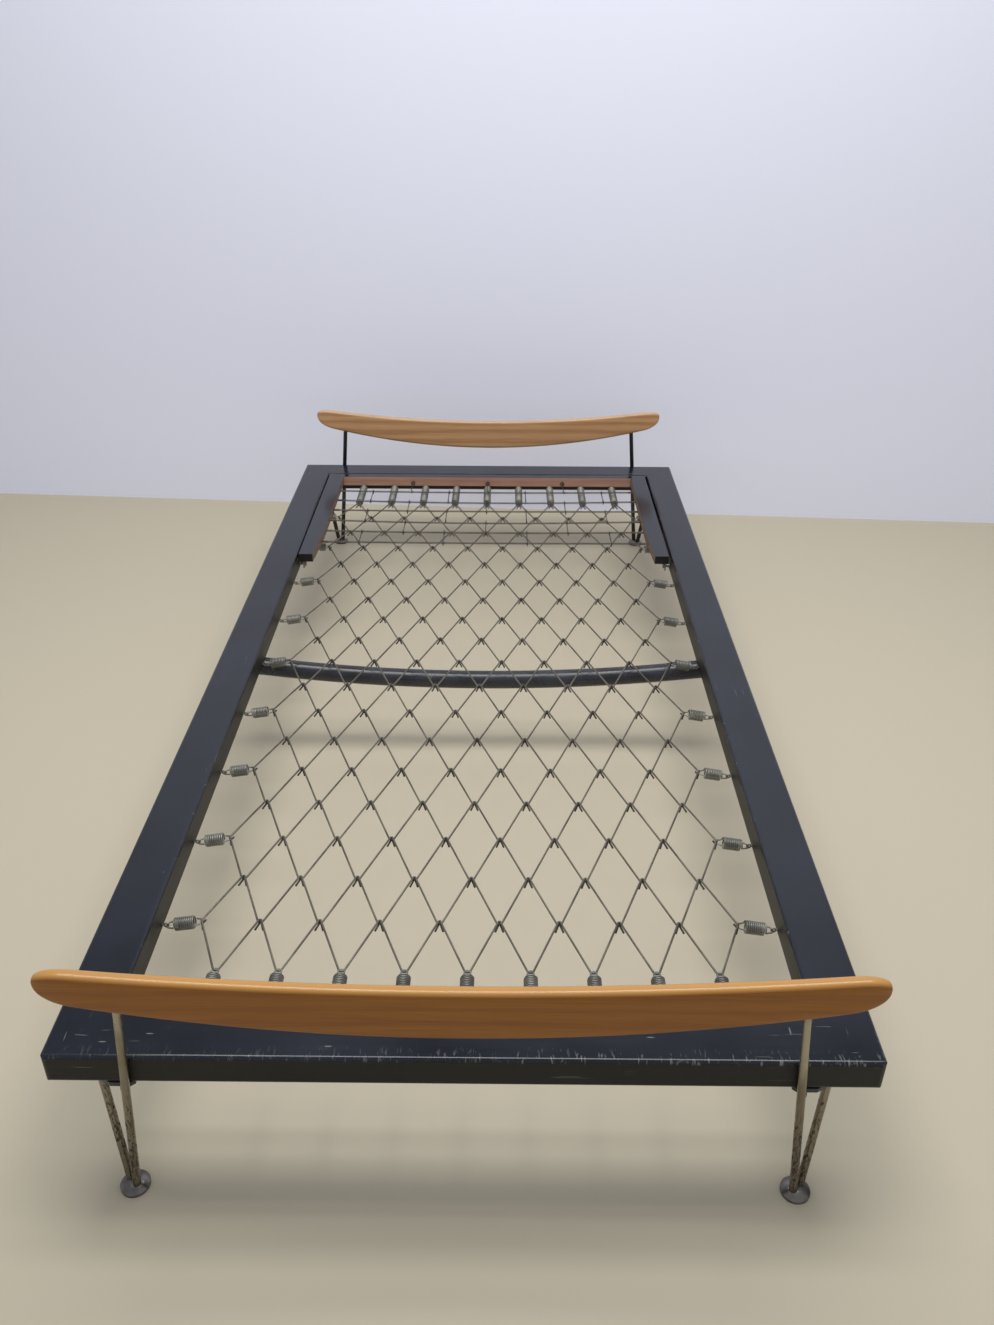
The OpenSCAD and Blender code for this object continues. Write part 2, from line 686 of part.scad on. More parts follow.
arm_low = top_h - arm_t;
lug_w = 26;                // length of a lug's plate along the arm
lug_drop = net_drop - arm_t + 9;
flange_w = 18;
stay_x0 = in_x - steel_t * 2 - 5;           // inner face of a stay
stay_lug_x0 = stay_x0 - steel_t - 2.5;      // inner face of a stay's lug
hinge_lug_x0 = stay_x0 - 1;
stay_pivot_y = hinge_y + stay_len;
stay_end_y = stay_pivot_y + stay_len;
hinge_lug_y = hinge_y - pin_d;
stay_lug_y = stay_pivot_y - lug_w / 2;

// Lug under an arm: a plate across X, from y, with a flange inwards, and a bore at bore_y
module lug(s, x0, y, bore_y, bore_r) {
    color(rod_grey) difference() {
        union() {
            translate([s > 0 ? x0 : -x0 - steel_t, y, arm_low - lug_drop]) cube([steel_t, lug_w, lug_drop]);
            translate([s > 0 ? x0 - flange_w : -x0 - cut, y, arm_low - steel_t])
                cube([flange_w + cut, lug_w, steel_t]);
        }
        translate([s * (x0 - cut), bore_y, net_z]) rotate([0, s * 90, 0])
            cylinder(h = steel_t + 2 * cut, r = bore_r);
        for (i = [0, 1]) lug_screw_at(s, x0, y, i, fit_gap);
    }
}

module lug_screw_at(s, x0, y, i, extra) {
    head = [[0, 0], [3.2 + extra, 0], [1.6 + extra, 2.2], [1.6 + extra, steel_t + 12], [0, steel_t + 12]];
    translate([s * (x0 - flange_w / 2), y + lug_w / 4 + i * lug_w / 2, arm_low - steel_t - 0.4])
        rotate_extrude($fn = 32) polygon(head);
}

module lug_screws_of(s, extra = 0) {
    for (i = [0, 1]) {
        lug_screw_at(s, hinge_lug_x0, hinge_lug_y, i, extra);
        lug_screw_at(s, stay_lug_x0, stay_lug_y, i, extra);
    }
}

module hinge_lug(s) lug(s, hinge_lug_x0, hinge_lug_y, hinge_y, pin_d / 2 + run_gap);
module stay_lug(s) lug(s, stay_lug_x0, stay_lug_y, stay_pivot_y, stay_pin_d / 2);

module hinge_pin_shaft(s, extra = 0) {
    translate([s * (hinge_lug_x0 - 1), hinge_y, net_z]) rotate([0, s * 90, 0])
        cylinder(h = in_x - hinge_lug_x0 + 31, d = pin_d + 2 * extra);
}

module hinge_pin(s) {
    color(rod_grey) {
        hinge_pin_shaft(s);
        translate([s * (hinge_lug_x0 - 3.5), hinge_y, net_z]) rotate([0, s * 90, 0])
            cylinder(h = 3, d = pin_d + 4);
    }
}

module stay_rivet(s) {
    color(rod_grey) translate([s * (stay_lug_x0 - 1.5), stay_pivot_y, net_z]) rotate([0, s * 90, 0]) {
        cylinder(h = 1.5, d = stay_pin_d + 3);
        cylinder(h = stay_x0 - stay_lug_x0 + steel_t + 1.5 + 0.3, d = stay_pin_d);
        translate([0, 0, stay_x0 - stay_lug_x0 + steel_t + 1.8]) cylinder(h = 1.2, d = stay_pin_d + 3);
    }
}

// Stay: a flat bar with round ends, a bore at its pivot and a pin at its far end
module stay(s) {
    color(rod_grey) {
        difference() {
            translate([s > 0 ? stay_x0 : -stay_x0 - steel_t, 0, 0]) rotate([90, 0, 90])
                linear_extrude(steel_t) {
                    translate([stay_pivot_y, net_z - stay_w / 2]) square([stay_len, stay_w]);
                    for (y = [stay_pivot_y, stay_end_y]) translate([y, net_z]) circle(d = stay_w);
                }
            translate([s * (stay_x0 - cut), stay_pivot_y, net_z]) rotate([0, s * 90, 0])
                cylinder(h = steel_t + 2 * cut, d = stay_pin_d + 2 * run_gap);
        }
        translate([s * (stay_x0 + steel_t - 0.5), stay_end_y, net_z]) rotate([0, s * 90, 0])
            cylinder(h = in_x - stay_x0 - steel_t + 0.2, d = stay_pin_d);
    }
}

// Rack on the rail: a slot for the stay's end pin, with notches in its lower edge
tilt_max = 45;
rack_h = 18;
slot_y0 = hinge_y + 2 * stay_len * cos(tilt_max) - stay_pin_d / 2 - 0.4;
slot_y1 = stay_end_y + stay_pin_d / 2 + 0.4;
slot_gap = 0.1;
module rack(s) {
    color(rod_grey) difference() {
        translate([s > 0 ? in_x - steel_t : -in_x, slot_y0 - 16, net_z - rack_h / 2])
            cube([steel_t, slot_y1 - slot_y0 + 32, rack_h]);
        translate([s > 0 ? in_x - steel_t - cut : -in_x - cut, 0, 0]) {
            translate([0, slot_y0, net_z - stay_pin_d / 2 - slot_gap])
                cube([steel_t + 2 * cut, slot_y1 - slot_y0, stay_pin_d + 2 * slot_gap]);
            for (i = [0 : rack_notches - 1]) {
                notch_run = slot_y1 - slot_y0 - stay_pin_d - 0.8;
                y = slot_y0 + stay_pin_d / 2 + 0.4 + i * notch_run / (rack_notches - 1);
                translate([0, y - stay_pin_d / 2 - 0.2, net_z - stay_pin_d / 2 - 3])
                    cube([steel_t + 2 * cut, stay_pin_d + 0.4, 4]);
            }
        }
        for (i = [0, 1]) rack_screw(s, i, fit_gap);
    }
}

module rack_screw(s, i, extra = 0) {
    translate([s * (in_x - steel_t - 0.2), i == 0 ? slot_y0 - 9 : slot_y1 + 9, net_z]) rotate([0, s * 90, 0])
        rotate_extrude($fn = 32)
            polygon([[0, 0], [3.4 + extra, 0], [1.7 + extra, 2.2], [1.7 + extra, 22], [0, 22]]);
}

module hinge_lug_left() hinge_lug(-1);
module hinge_lug_right() hinge_lug(1);
module hinge_pin_left() hinge_pin(-1);
module hinge_pin_right() hinge_pin(1);
module stay_lug_left() stay_lug(-1);
module stay_lug_right() stay_lug(1);
module stay_rivet_left() stay_rivet(-1);
module stay_rivet_right() stay_rivet(1);
module stay_left() stay(-1);
module stay_right() stay(1);
module rack_left() rack(-1);
module rack_right() rack(1);
module rack_screws() color(rod_grey) for (s = [-1, 1], i = [0, 1]) rack_screw(s, i);
module lug_screws() color(rod_grey) for (s = [-1, 1]) lug_screws_of(s);

// ---- web of thin springs across the headrest ----

web_z = top_h - web_drop;
function web_y(i) = bar_y0 - web_first - i * web_pitch;

module web_springs() {
    color(wire_grey) for (i = [0 : web_count - 1]) {
        reach = arm_in(web_y(i)) - seat_gap;
        translate([headrest_shift - reach, web_y(i), web_z]) rotate([0, 90, 0]) difference() {
            cylinder(h = 2 * reach, d = web_d, $fn = 24);
            translate([0, 0, -cut]) cylinder(h = 2 * reach + 2 * cut, d = web_d - 2.4, $fn = 24);
        }
    }
}

// Short links between neighbouring web springs, staggered by half a step
module web_links() {
    color(wire_grey) for (i = [0 : web_count - 2]) {
        count = odd(i) ? 3 : 4;
        for (j = [0 : count - 1]) {
            x = (j - (count - 1) / 2) * web_step;
            bar([x, web_y(i) - web_d / 2 - seat_gap, web_z],
                [x, web_y(i + 1) + web_d / 2 + seat_gap, web_z], web_wire / 2, 20);
        }
    }
}

module web_hooks() {
    color(wire_grey) for (j = [-1 : 1])
        bar([j * web_step, bar_y0 - 0.3, web_z], [j * web_step, web_y(0) + web_d / 2 + seat_gap, web_z],
            web_wire / 2, 20);
}

side_rail_left();
side_rail_right();
foot_rail();
head_rail();
corner_dowels();
footboard();
headboard();
post_rod_foot_left();
post_rod_foot_right();
post_rod_head_left();
post_rod_head_right();
brace_rod_foot_left();
brace_rod_foot_right();
brace_rod_head_left();
brace_rod_head_right();
foot_disc_foot_left();
foot_disc_foot_right();
foot_disc_head_left();
foot_disc_head_right();
leg_plate_foot_left();
leg_plate_foot_right();
leg_plate_head_left();
leg_plate_head_right();
leg_screws();
cross_tube();
tube_screws();
net_links_main();
net_links_head();
side_springs_left();
side_springs_right();
foot_springs();
head_springs();
arm_springs();
rail_eyes();
headrest_eyes();
headrest_arm_left();
headrest_arm_right();
headrest_crossbar();
headrest_dowels();
hinge_lug_left();
hinge_lug_right();
hinge_pin_left();
hinge_pin_right();
stay_lug_left();
stay_lug_right();
stay_rivet_left();
stay_rivet_right();
stay_left();
stay_right();
rack_left();
rack_right();
rack_screws();
lug_screws();
web_springs();
web_links();
web_hooks();
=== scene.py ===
import math

import bmesh
import bpy
from mathutils import Matrix, Vector


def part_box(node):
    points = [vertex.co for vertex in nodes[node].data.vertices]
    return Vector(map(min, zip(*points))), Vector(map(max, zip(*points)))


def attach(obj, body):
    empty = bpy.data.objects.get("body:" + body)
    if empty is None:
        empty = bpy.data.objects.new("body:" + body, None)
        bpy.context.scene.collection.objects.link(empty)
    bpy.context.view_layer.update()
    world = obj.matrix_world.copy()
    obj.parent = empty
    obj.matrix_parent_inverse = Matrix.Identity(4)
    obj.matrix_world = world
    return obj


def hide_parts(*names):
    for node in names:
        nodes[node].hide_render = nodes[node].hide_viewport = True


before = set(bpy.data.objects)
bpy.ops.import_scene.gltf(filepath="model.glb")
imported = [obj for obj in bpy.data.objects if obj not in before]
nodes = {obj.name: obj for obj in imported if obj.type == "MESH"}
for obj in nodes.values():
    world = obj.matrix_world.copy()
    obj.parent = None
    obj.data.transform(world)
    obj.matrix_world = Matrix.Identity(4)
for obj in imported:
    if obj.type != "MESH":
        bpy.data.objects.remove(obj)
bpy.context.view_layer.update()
sides = {"Right": 1, "Left": -1}
print("frame loaded,", len(nodes), "nodes")


# Room, camera and light
room = {
    "floorColour": (0.527, 0.467, 0.342, 1),
    "floorRough": 0.6,
    "floorHalf": 14,    # half a side of the floor
    "wallColour": (0.82, 0.835, 0.97, 1),
    "wallRough": 0.8,
    "wallHalf": 9,
    "wallHeight": 6,
    "wallDistance": 1.2,    # where the wall meets the floor, straight ahead
    "wallTurn": -3.5,    # degrees
    "skyColour": (0.88, 0.93, 1.0, 1),
    "skyStrength": 0.5,
}
lamps = {
    "ceilingPanel": {"power": 50, "size": (2.5, 0.85), "place": (0.1, -0.1, 2.7)},
    "lampStrip": {"power": 9, "size": (2.4, 0.18), "place": (0.0, -0.95, 2.6)},
}
viewpoint = {
    "place": (0.0407, -1.7724, 1.2182),
    "pitch": 30.36,    # degrees below level
    "yaw": 0.32,
    "roll": 0.26,
    "sensorWidth": 36,    # millimetres, along the picture's long side
    "focalPixels": 1089.0,
    "longSidePixels": 1325,
}


def addObject(name, data):
    made = bpy.data.objects.new(name, data)
    bpy.context.scene.collection.objects.link(made)
    return made


def meshObject(name, verts, faces, material=None, smooth=False):
    mesh = bpy.data.meshes.new(name)
    mesh.from_pydata([tuple(v) for v in verts], [], faces)
    mesh.update()
    if smooth:
        mesh.polygons.foreach_set("use_smooth", [True] * len(mesh.polygons))
    if material:
        mesh.materials.append(material)
    return addObject(name, mesh)


def plainMaterial(name, colour, rough):
    material = bpy.data.materials.new(name)
    material.use_nodes = True
    shader = material.node_tree.nodes["Principled BSDF"]
    shader.inputs["Base Color"].default_value = colour
    shader.inputs["Roughness"].default_value = rough
    return material


# Shown from its front only, so that it never hides the object from a camera behind it
def oneSided(material):
    tree = material.node_tree
    shader = tree.nodes["Principled BSDF"]
    side = tree.nodes.new("ShaderNodeNewGeometry")
    clear = tree.nodes.new("ShaderNodeBsdfTransparent")
    mixed = tree.nodes.new("ShaderNodeMixShader")
    tree.links.new(side.outputs["Backfacing"], mixed.inputs[0])
    tree.links.new(shader.outputs[0], mixed.inputs[1])
    tree.links.new(clear.outputs[0], mixed.inputs[2])
    tree.links.new(mixed.outputs[0], tree.nodes["Material Output"].inputs["Surface"])
    return material


def setUpCamera():
    data = bpy.data.cameras.new("viewCamera")
    data.sensor_width = viewpoint["sensorWidth"]
    data.lens = viewpoint["focalPixels"] / viewpoint["longSidePixels"] * data.sensor_width
    camera = addObject("viewCamera", data)
    turn = (Matrix.Rotation(math.radians(viewpoint["yaw"]), 4, "Z")
            @ Matrix.Rotation(math.radians(90 - viewpoint["pitch"]), 4, "X")
            @ Matrix.Rotation(math.radians(viewpoint["roll"]), 4, "Z"))
    camera.matrix_world = Matrix.Translation(viewpoint["place"]) @ turn
    bpy.context.scene.camera = camera


def setUpRoom():
    half = room["floorHalf"]
    paleFloor = plainMaterial("paleFloor", room["floorColour"], room["floorRough"])
    corners = [(-half, -half, 0), (half, -half, 0), (half, half, 0), (-half, half, 0)]
    floor = meshObject("floor", corners, [(0, 1, 2, 3)], paleFloor)
    half, tall = room["wallHalf"], room["wallHeight"]
    turn = Matrix.Rotation(math.radians(room["wallTurn"]), 3, "Z")
    corners = [turn @ Vector((x, 0, z)) + Vector((0, room["wallDistance"], 0))
               for x, z in ((-half, 0), (half, 0), (half, tall), (-half, tall))]
    paleWall = oneSided(plainMaterial("paleWall", room["wallColour"], room["wallRough"]))
    wall = meshObject("wall", corners, [(0, 1, 2, 3)], paleWall)

    world = bpy.data.worlds.new("softSky")
    world.use_nodes = True
    sky = world.node_tree.nodes["Background"]
    sky.inputs["Color"].default_value = room["skyColour"]
    sky.inputs["Strength"].default_value = room["skyStrength"]
    bpy.context.scene.world = world


def setUpLamps():
    for name, lamp in lamps.items():
        data = bpy.data.lights.new(name, "AREA")
        data.shape = "RECTANGLE"
        data.size, data.size_y = lamp["size"]
        data.energy = lamp["power"]
        addObject(name, data).location = lamp["place"]


setUpCamera()
setUpRoom()
setUpLamps()
bpy.context.scene.view_settings.view_transform = "Standard"
print("room, camera and light set")


# Material building blocks; most add nodes to a tree and give back an output socket
def put(tree, kind, values, **settings):
    made = tree.nodes.new(kind)
    for name, value in settings.items():
        setattr(made, name, value)
    feed(tree, made.inputs, values)
    return made


# Links the values that are output sockets and sets the others as constants
def feed(tree, inputs, values):
    for key, value in values.items():
        if isinstance(value, bpy.types.NodeSocket):
            tree.links.new(value, inputs[key])
        else:
            inputs[key].default_value = value


def startMaterial(name):
    material = bpy.data.materials.new(name)
    material.use_nodes = True
    tree = material.node_tree
    where = tree.nodes.new("ShaderNodeTexCoord")
    return material, tree, tree.nodes["Principled BSDF"], where


def mapped(tree, place, stretch, turn=(0, 0, 0)):
    return put(tree, "ShaderNodeMapping", {"Vector": place, "Scale": stretch,
                                           "Rotation": turn}).outputs[0]


def noise(tree, place, scale, stretch=(1, 1, 1), detail=4.0, rough=0.55, turn=(0, 0, 0)):
    return put(tree, "ShaderNodeTexNoise", {"Vector": mapped(tree, place, stretch, turn),
                                            "Scale": scale, "Detail": detail,
                                            "Roughness": rough}).outputs["Fac"]


def noises(tree, place, settings, *layers, **extra):
    return [noise(tree, place, **settings[layer], **extra) for layer in layers]


def calc(tree, operation, a, b=0.0, clamp=False):
    made = put(tree, "ShaderNodeMath", {0: a, 1: b}, operation=operation, use_clamp=clamp)
    return made.outputs[0]


def times(tree, a, b):
    return calc(tree, "MULTIPLY", a, b)


def larger(tree, a, b):
    return calc(tree, "MAXIMUM", a, b)


# first and second added up, share being how much of the sum is first
def weighed(tree, first, second, share):
    return calc(tree, "ADD", times(tree, first, share), times(tree, second, 1 - share))


# From out[0] to out[1] while value goes from low to high
def step(tree, value, low, high, out=(0.0, 1.0)):
    made = put(tree, "ShaderNodeMapRange", {"Value": value, "From Min": low, "From Max": high,
                                            "To Min": out[0], "To Max": out[1]}, clamp=True)
    return made.outputs[0]


def between(tree, mask, low, high):
    return step(tree, mask, 0.0, 1.0, (low, high))


def separate(tree, vector):
    return put(tree, "ShaderNodeSeparateXYZ", {0: vector}).outputs


def ramp(tree, value, stops):
    made = put(tree, "ShaderNodeValToRGB", {"Fac": value})
    band = made.color_ramp
    while len(band.elements) < len(stops):
        band.elements.new(1.0)
    for element, (place, colour) in zip(band.elements, stops):
        element.position = place
        element.color = (*colour, 1)
    return made.outputs["Color"]


def mixColour(tree, amount, first, second):
    colours = [colour if isinstance(colour, bpy.types.NodeSocket) else (*colour, 1)
               for colour in (first, second)]
    made = put(tree, "ShaderNodeMix", {0: amount, 6: colours[0], 7: colours[1]}, data_type="RGBA")
    return made.outputs[2]


def bump(tree, height, strength, distance):
    return put(tree, "ShaderNodeBump", {"Height": height, "Strength": strength,
                                        "Distance": distance}).outputs[0]


def wire(tree, shader, **values):
    names = {"colour": "Base Color", "rough": "Roughness", "metal": "Metallic",
             "normal": "Normal", "specular": "Specular IOR Level", "coat": "Coat Weight",
             "coatRough": "Coat Roughness"}
    feed(tree, shader.inputs, {names[key]: value for key, value in values.items()})


# Black lacquer; places are metres from the middle of the bed
lacquer = {
    "deep": (0.004, 0.0051, 0.0092),
    "dusty": (0.0105, 0.0135, 0.023),
    "side": (0.004, 0.003, 0.0024),    # painted shade: a darker colour on upright faces
    "worn": (0.17, 0.165, 0.135),
    "chip": (0.34, 0.34, 0.32),
    "specular": 0.45,
    "bump": (0.16, 0.0003),    # strength and distance
    "brushHeight": 0.5,
    "markDepth": 0.8,
    "uprightRange": (0.35, 0.05),    # how far up or down a face looks, level to upright
    "cloud": {"scale": 4.5, "detail": 3},
    "cloudRange": (0.35, 0.7),    # from deep to dusty
    "brush": {"scale": 7.0, "detail": 2},
    "brushStretch": (30.0, 1.4),    # across and along the piece
    "rough": (0.11, 0.24),
    "roughRange": (0.3, 0.7),
    "cloudShare": 0.7,    # of the roughness, the rest being brush marks
    "sideRough": 0.34,    # added on upright faces
    "wornRough": 0.3,    # added where worn or scratched
    "cornerX": (0.33, 0.43),    # where the wear of a corner starts and is full
    "cornerY": (0.84, 0.91),
    "footEnd": (0.80, 0.88),    # the same for the nicks of the foot end
    "scratches": ((3.0, 0.5, 0.69), (3.4, -0.9, 0.70)),    # scale, turn, noise they start at
    "scratchStretch": (60.0, 4.0),
    "scratchDetail": 2,
    "scratchFade": 0.03,
    "scratchMix": 0.6,
    "patch": {"scale": 4.0, "detail": 2},    # where scratches gather away from the corners
    "patchRange": (0.56, 0.66),
    "patchShare": 0.6,
    # nicks: cells to a metre, turn, size in a cell, share of cells without one
    "dots": ((17, 17, 1), 0.0, 0.022, 0.86),
    "cuts": (((58, 9, 1), 0.5, 0.06, 0.945), ((16, 90, 1), -0.2, 0.085, 0.93)),
    "nickCore": 0.6,    # share of a nick's size that is bare
    "nickFade": 0.01,
    "nickMix": 0.42,
    "dotsElsewhere": 0.4,    # strength of the dots away from the foot end
    "tick": {"scale": 24.0, "stretch": (12, 3, 1), "detail": 2},    # along the front edge
    "tickRange": (0.61, 0.67),
    "tickY": (0.930, 0.947),
    "tickX": (-0.2, 0.1),    # from few ticks to all
    "tickFew": 0.3,
    "tickMix": 0.38,
    "edgeRange": (0.985, 0.8),    # largest part of the normal, flat to edge
    "edgeWear": {"scale": 60.0, "detail": 5, "rough": 0.7},
    "edgeFrom": (0.60, 0.52),    # noise it starts at, elsewhere and at the corners
    "edgeFade": 0.08,
    "edgeMix": 0.5,
}


# A stretch that draws a pattern out along axis 0, 1 or 2
def drawnOut(axis, across, along):
    stretch = [across] * 3
    stretch[axis] = along
    return tuple(stretch)


# How much of the surface normal is off the three axes: 0 on flat faces, more on rounded edges
def edgeMask(tree, where):
    size = put(tree, "ShaderNodeVectorMath", {0: where.outputs["Normal"]}, operation="ABSOLUTE")
    parts = separate(tree, size.outputs[0])
    most = larger(tree, parts[0], larger(tree, parts[1], parts[2]))
    return step(tree, most, *lacquer["edgeRange"])


# 1 close to the frame's four corners, 0 away from them
def cornerMask(tree, spot):
    sideways = step(tree, calc(tree, "ABSOLUTE", spot[0]), *lacquer["cornerX"])
    endways = step(tree, calc(tree, "ABSOLUTE", spot[1]), *lacquer["cornerY"])
    return times(tree, sideways, endways)


def scratchMask(tree, place, axis, corner):
    stretch = drawnOut(axis, *lacquer["scratchStretch"])
    marks = []
    for scale, turn, start in lacquer["scratches"]:
        lines = noise(tree, place, scale, stretch, lacquer["scratchDetail"], turn=(0, 0, turn))
        marks.append(step(tree, lines, start, start + lacquer["scratchFade"]))
    patch = step(tree, noise(tree, place, **lacquer["patch"]), *lacquer["patchRange"])
    patch = larger(tree, times(tree, patch, lacquer["patchShare"]), corner)
    return times(tree, larger(tree, *marks), patch)


# Small nicks, one in some of the cells of a pattern
def nicks(tree, place, scale, turn, size, share):
    cells = put(tree, "ShaderNodeTexVoronoi", {"Vector": mapped(tree, place, scale, (0, 0, turn)),
                                               "Scale": 1.0, "Randomness": 1.0},
                voronoi_dimensions="2D").outputs
    chance = put(tree, "ShaderNodeSeparateColor", {0: cells["Color"]}).outputs[0]
    return times(tree, step(tree, cells["Distance"], size, size * lacquer["nickCore"]),
                 step(tree, chance, share, share + lacquer["nickFade"]))


def nickMask(tree, place, toFoot):
    handled = step(tree, toFoot, *lacquer["footEnd"])
    dots = times(tree, nicks(tree, place, *lacquer["dots"]),
                 between(tree, handled, lacquer["dotsElsewhere"], 1.0))
    cuts = larger(tree, *[nicks(tree, place, *cut) for cut in lacquer["cuts"]])
    return larger(tree, dots, times(tree, cuts, handled))


# Short marks across the front edge of the foot end
def tickMask(tree, place, spot, toFoot):
    frontEdge = times(tree, step(tree, toFoot, *lacquer["tickY"]),
                      step(tree, spot[0], *lacquer["tickX"], (lacquer["tickFew"], 1.0)))
    tick = step(tree, noise(tree, place, **lacquer["tick"]), *lacquer["tickRange"])
    return times(tree, tick, frontEdge)


def wornEdgeMask(tree, place, where, corner):
    start = between(tree, corner, *lacquer["edgeFrom"])
    wear = calc(tree, "SUBTRACT", noise(tree, place, **lacquer["edgeWear"]), start)
    return times(tree, edgeMask(tree, where), step(tree, wear, 0.0, lacquer["edgeFade"]))


# Lacquer with its brush marks along axis 0, 1 or 2, scratches, small chips, worn edges and painted
# shade on upright faces
def lacquerNodes(tree, where, axis):
    place = where.outputs["Object"]
    spot = separate(tree, place)
    toFoot = times(tree, spot[1], -1.0)
    facing = separate(tree, where.outputs["Normal"])
    upright = step(tree, calc(tree, "ABSOLUTE", facing[2]), *lacquer["uprightRange"])
    level = calc(tree, "SUBTRACT", 1.0, upright)
    cloud = noise(tree, place, **lacquer["cloud"])
    brush = noise(tree, place, stretch=drawnOut(axis, *lacquer["brushStretch"]),
                  **lacquer["brush"])
    corner = cornerMask(tree, spot)
    scratch = scratchMask(tree, place, axis, corner)
    worn = wornEdgeMask(tree, place, where, corner)
    nick = times(tree, nickMask(tree, place, toFoot), level)
    tick = times(tree, tickMask(tree, place, spot, toFoot), level)

    dust = step(tree, cloud, *lacquer["cloudRange"])
    colour = mixColour(tree, dust, lacquer["deep"], lacquer["dusty"])
    # Upright faces are painted darker: painted shade
    colour = mixColour(tree, upright, colour, lacquer["side"])
    for mask, amount, tone in ((scratch, "scratchMix", "worn"), (worn, "edgeMix", "worn"),
                               (nick, "nickMix", "chip"), (tick, "tickMix", "chip")):
        colour = mixColour(tree, times(tree, mask, lacquer[amount]), colour, lacquer[tone])

    rough = weighed(tree, cloud, brush, lacquer["cloudShare"])
    rough = step(tree, rough, *lacquer["roughRange"], lacquer["rough"])
    rough = calc(tree, "ADD", rough, times(tree, upright, lacquer["sideRough"]))
    rubbed = times(tree, larger(tree, worn, scratch), lacquer["wornRough"])
    rough = calc(tree, "ADD", rough, rubbed, clamp=True)
    height = calc(tree, "SUBTRACT", times(tree, brush, lacquer["brushHeight"]),
                  times(tree, larger(tree, scratch, nick), lacquer["markDepth"]))
    return colour, rough, bump(tree, height, *lacquer["bump"])


def lacquerMaterial(name, axis):
    material, tree, shader, where = startMaterial(name)
    colour, rough, normal = lacquerNodes(tree, where, axis)
    wire(tree, shader, colour=colour, rough=rough, normal=normal, specular=lacquer["specular"])
    return material


# What every wood here shares
grain = {
    "ringTurn": (0.35, 0, 0),
    "ringDetail": {"Detail": 3.0, "Detail Scale": 1.6, "Detail Roughness": 0.6},
    "streak": {"scale": 13.0, "stretch": (0.9, 34, 34), "detail": 6, "rough": 0.65},
    "stops": (0.28, 0.51, 0.78),    # where the light, mid and dark tones stand
    "pores": {"scale": 26.0, "stretch": (3.0, 70, 70), "detail": 3, "rough": 0.7},
    "poreRange": (0.60, 0.72),
    "poreMix": 0.3,
    "poreTone": 0.55,    # of the dark tone
    "cloud": {"scale": 3.0, "stretch": (1, 3, 3), "detail": 3},
    "cloudRange": (0.3, 0.75),
    "cloudMix": 0.35,
}
beech = {
    "light": (0.375, 0.140, 0.012),
    "mid": (0.315, 0.108, 0.008),
    "dark": (0.220, 0.066, 0.005),
    "edge": (0.620, 0.330, 0.090),    # painted highlight: a lighter tone on faces that look up
    "cloudTone": 1.15,    # of the dark tone
    "ringShare": 0.15,    # how much of the figure is rings, the rest being streaks
    "ringScale": 15.0,
    "ringStretch": (0.07, 1.0, 1.0),
    "ringWarp": 6.0,
}
# The same beech painted lighter for the far board: painted light, with its own painted highlight
# on faces that look up
beechPaintedLighter = dict(beech, edge=(0.590, 0.410, 0.250), ringShare=0.34, light=(0.575, 0.335, 0.165),
                 mid=(0.495, 0.270, 0.128), dark=(0.350, 0.170, 0.072))
varnish = {
    "edgeRange": (0.25, 0.9),    # how far up a face looks, from plain to the painted highlight tone
    "edgeMix": 0.65,
    "mottle": {"scale": 14.0, "detail": 3},
    "mottleRange": (0.3, 0.7),
    "rough": (0.3, 0.42),
    "bump": (0.12, 0.0003),
    "specular": 0.25,
    "coat": 0.45,
    "coatRough": 0.09,
}
bareWood = {
    "light": (0.46, 0.265, 0.185),
    "mid": (0.38, 0.205, 0.142),
    "dark": (0.25, 0.130, 0.090),
    "cloudTone": 1.0,
    "ringShare": 0.15,
    "ringScale": 22.0,
    "ringStretch": (0.14, 1.0, 1.0),
    "ringWarp": 4.0,
    "bareRange": (0.55, 0.6),    # how far a face looks the bare way, lacquered to bare
    "bareRough": 0.3,    # added on the bare face of a lacquered piece
    "rough": 0.62,
    "bump": (0.2, 0.0003),
}
# The same bare beech painted darker for the arms' inner faces: painted shade
shadedArmWood = dict(bareWood, light=(0.230, 0.145, 0.100), mid=(0.180, 0.108, 0.074),
               dark=(0.115, 0.066, 0.045))


def toned(colour, amount):
    return tuple(part * amount for part in colour)


# Straight-grained wood with long cathedral figure along X and fine pores
def woodNodes(tree, where, wood):
    place = where.outputs["Object"]
    stretched = mapped(tree, place, wood["ringStretch"], grain["ringTurn"])
    rings = put(tree, "ShaderNodeTexWave", {"Vector": stretched, "Scale": wood["ringScale"],
                                            "Distortion": wood["ringWarp"], **grain["ringDetail"]},
                wave_type="BANDS", bands_direction="Z", wave_profile="SIN").outputs["Fac"]
    streak, cloud, pore = noises(tree, place, grain, "streak", "cloud", "pores")
    pore = step(tree, pore, *grain["poreRange"])
    tones = [wood[tone] for tone in ("light", "mid", "dark")]
    figure = weighed(tree, rings, streak, wood["ringShare"])
    colour = ramp(tree, figure, list(zip(grain["stops"], tones)))
    colour = mixColour(tree, times(tree, pore, grain["poreMix"]), colour,
                       toned(wood["dark"], grain["poreTone"]))
    cloudy = step(tree, cloud, *grain["cloudRange"], (0.0, grain["cloudMix"]))
    colour = mixColour(tree, cloudy, colour, toned(wood["dark"], wood["cloudTone"]))
    return colour, calc(tree, "SUBTRACT", streak, pore)


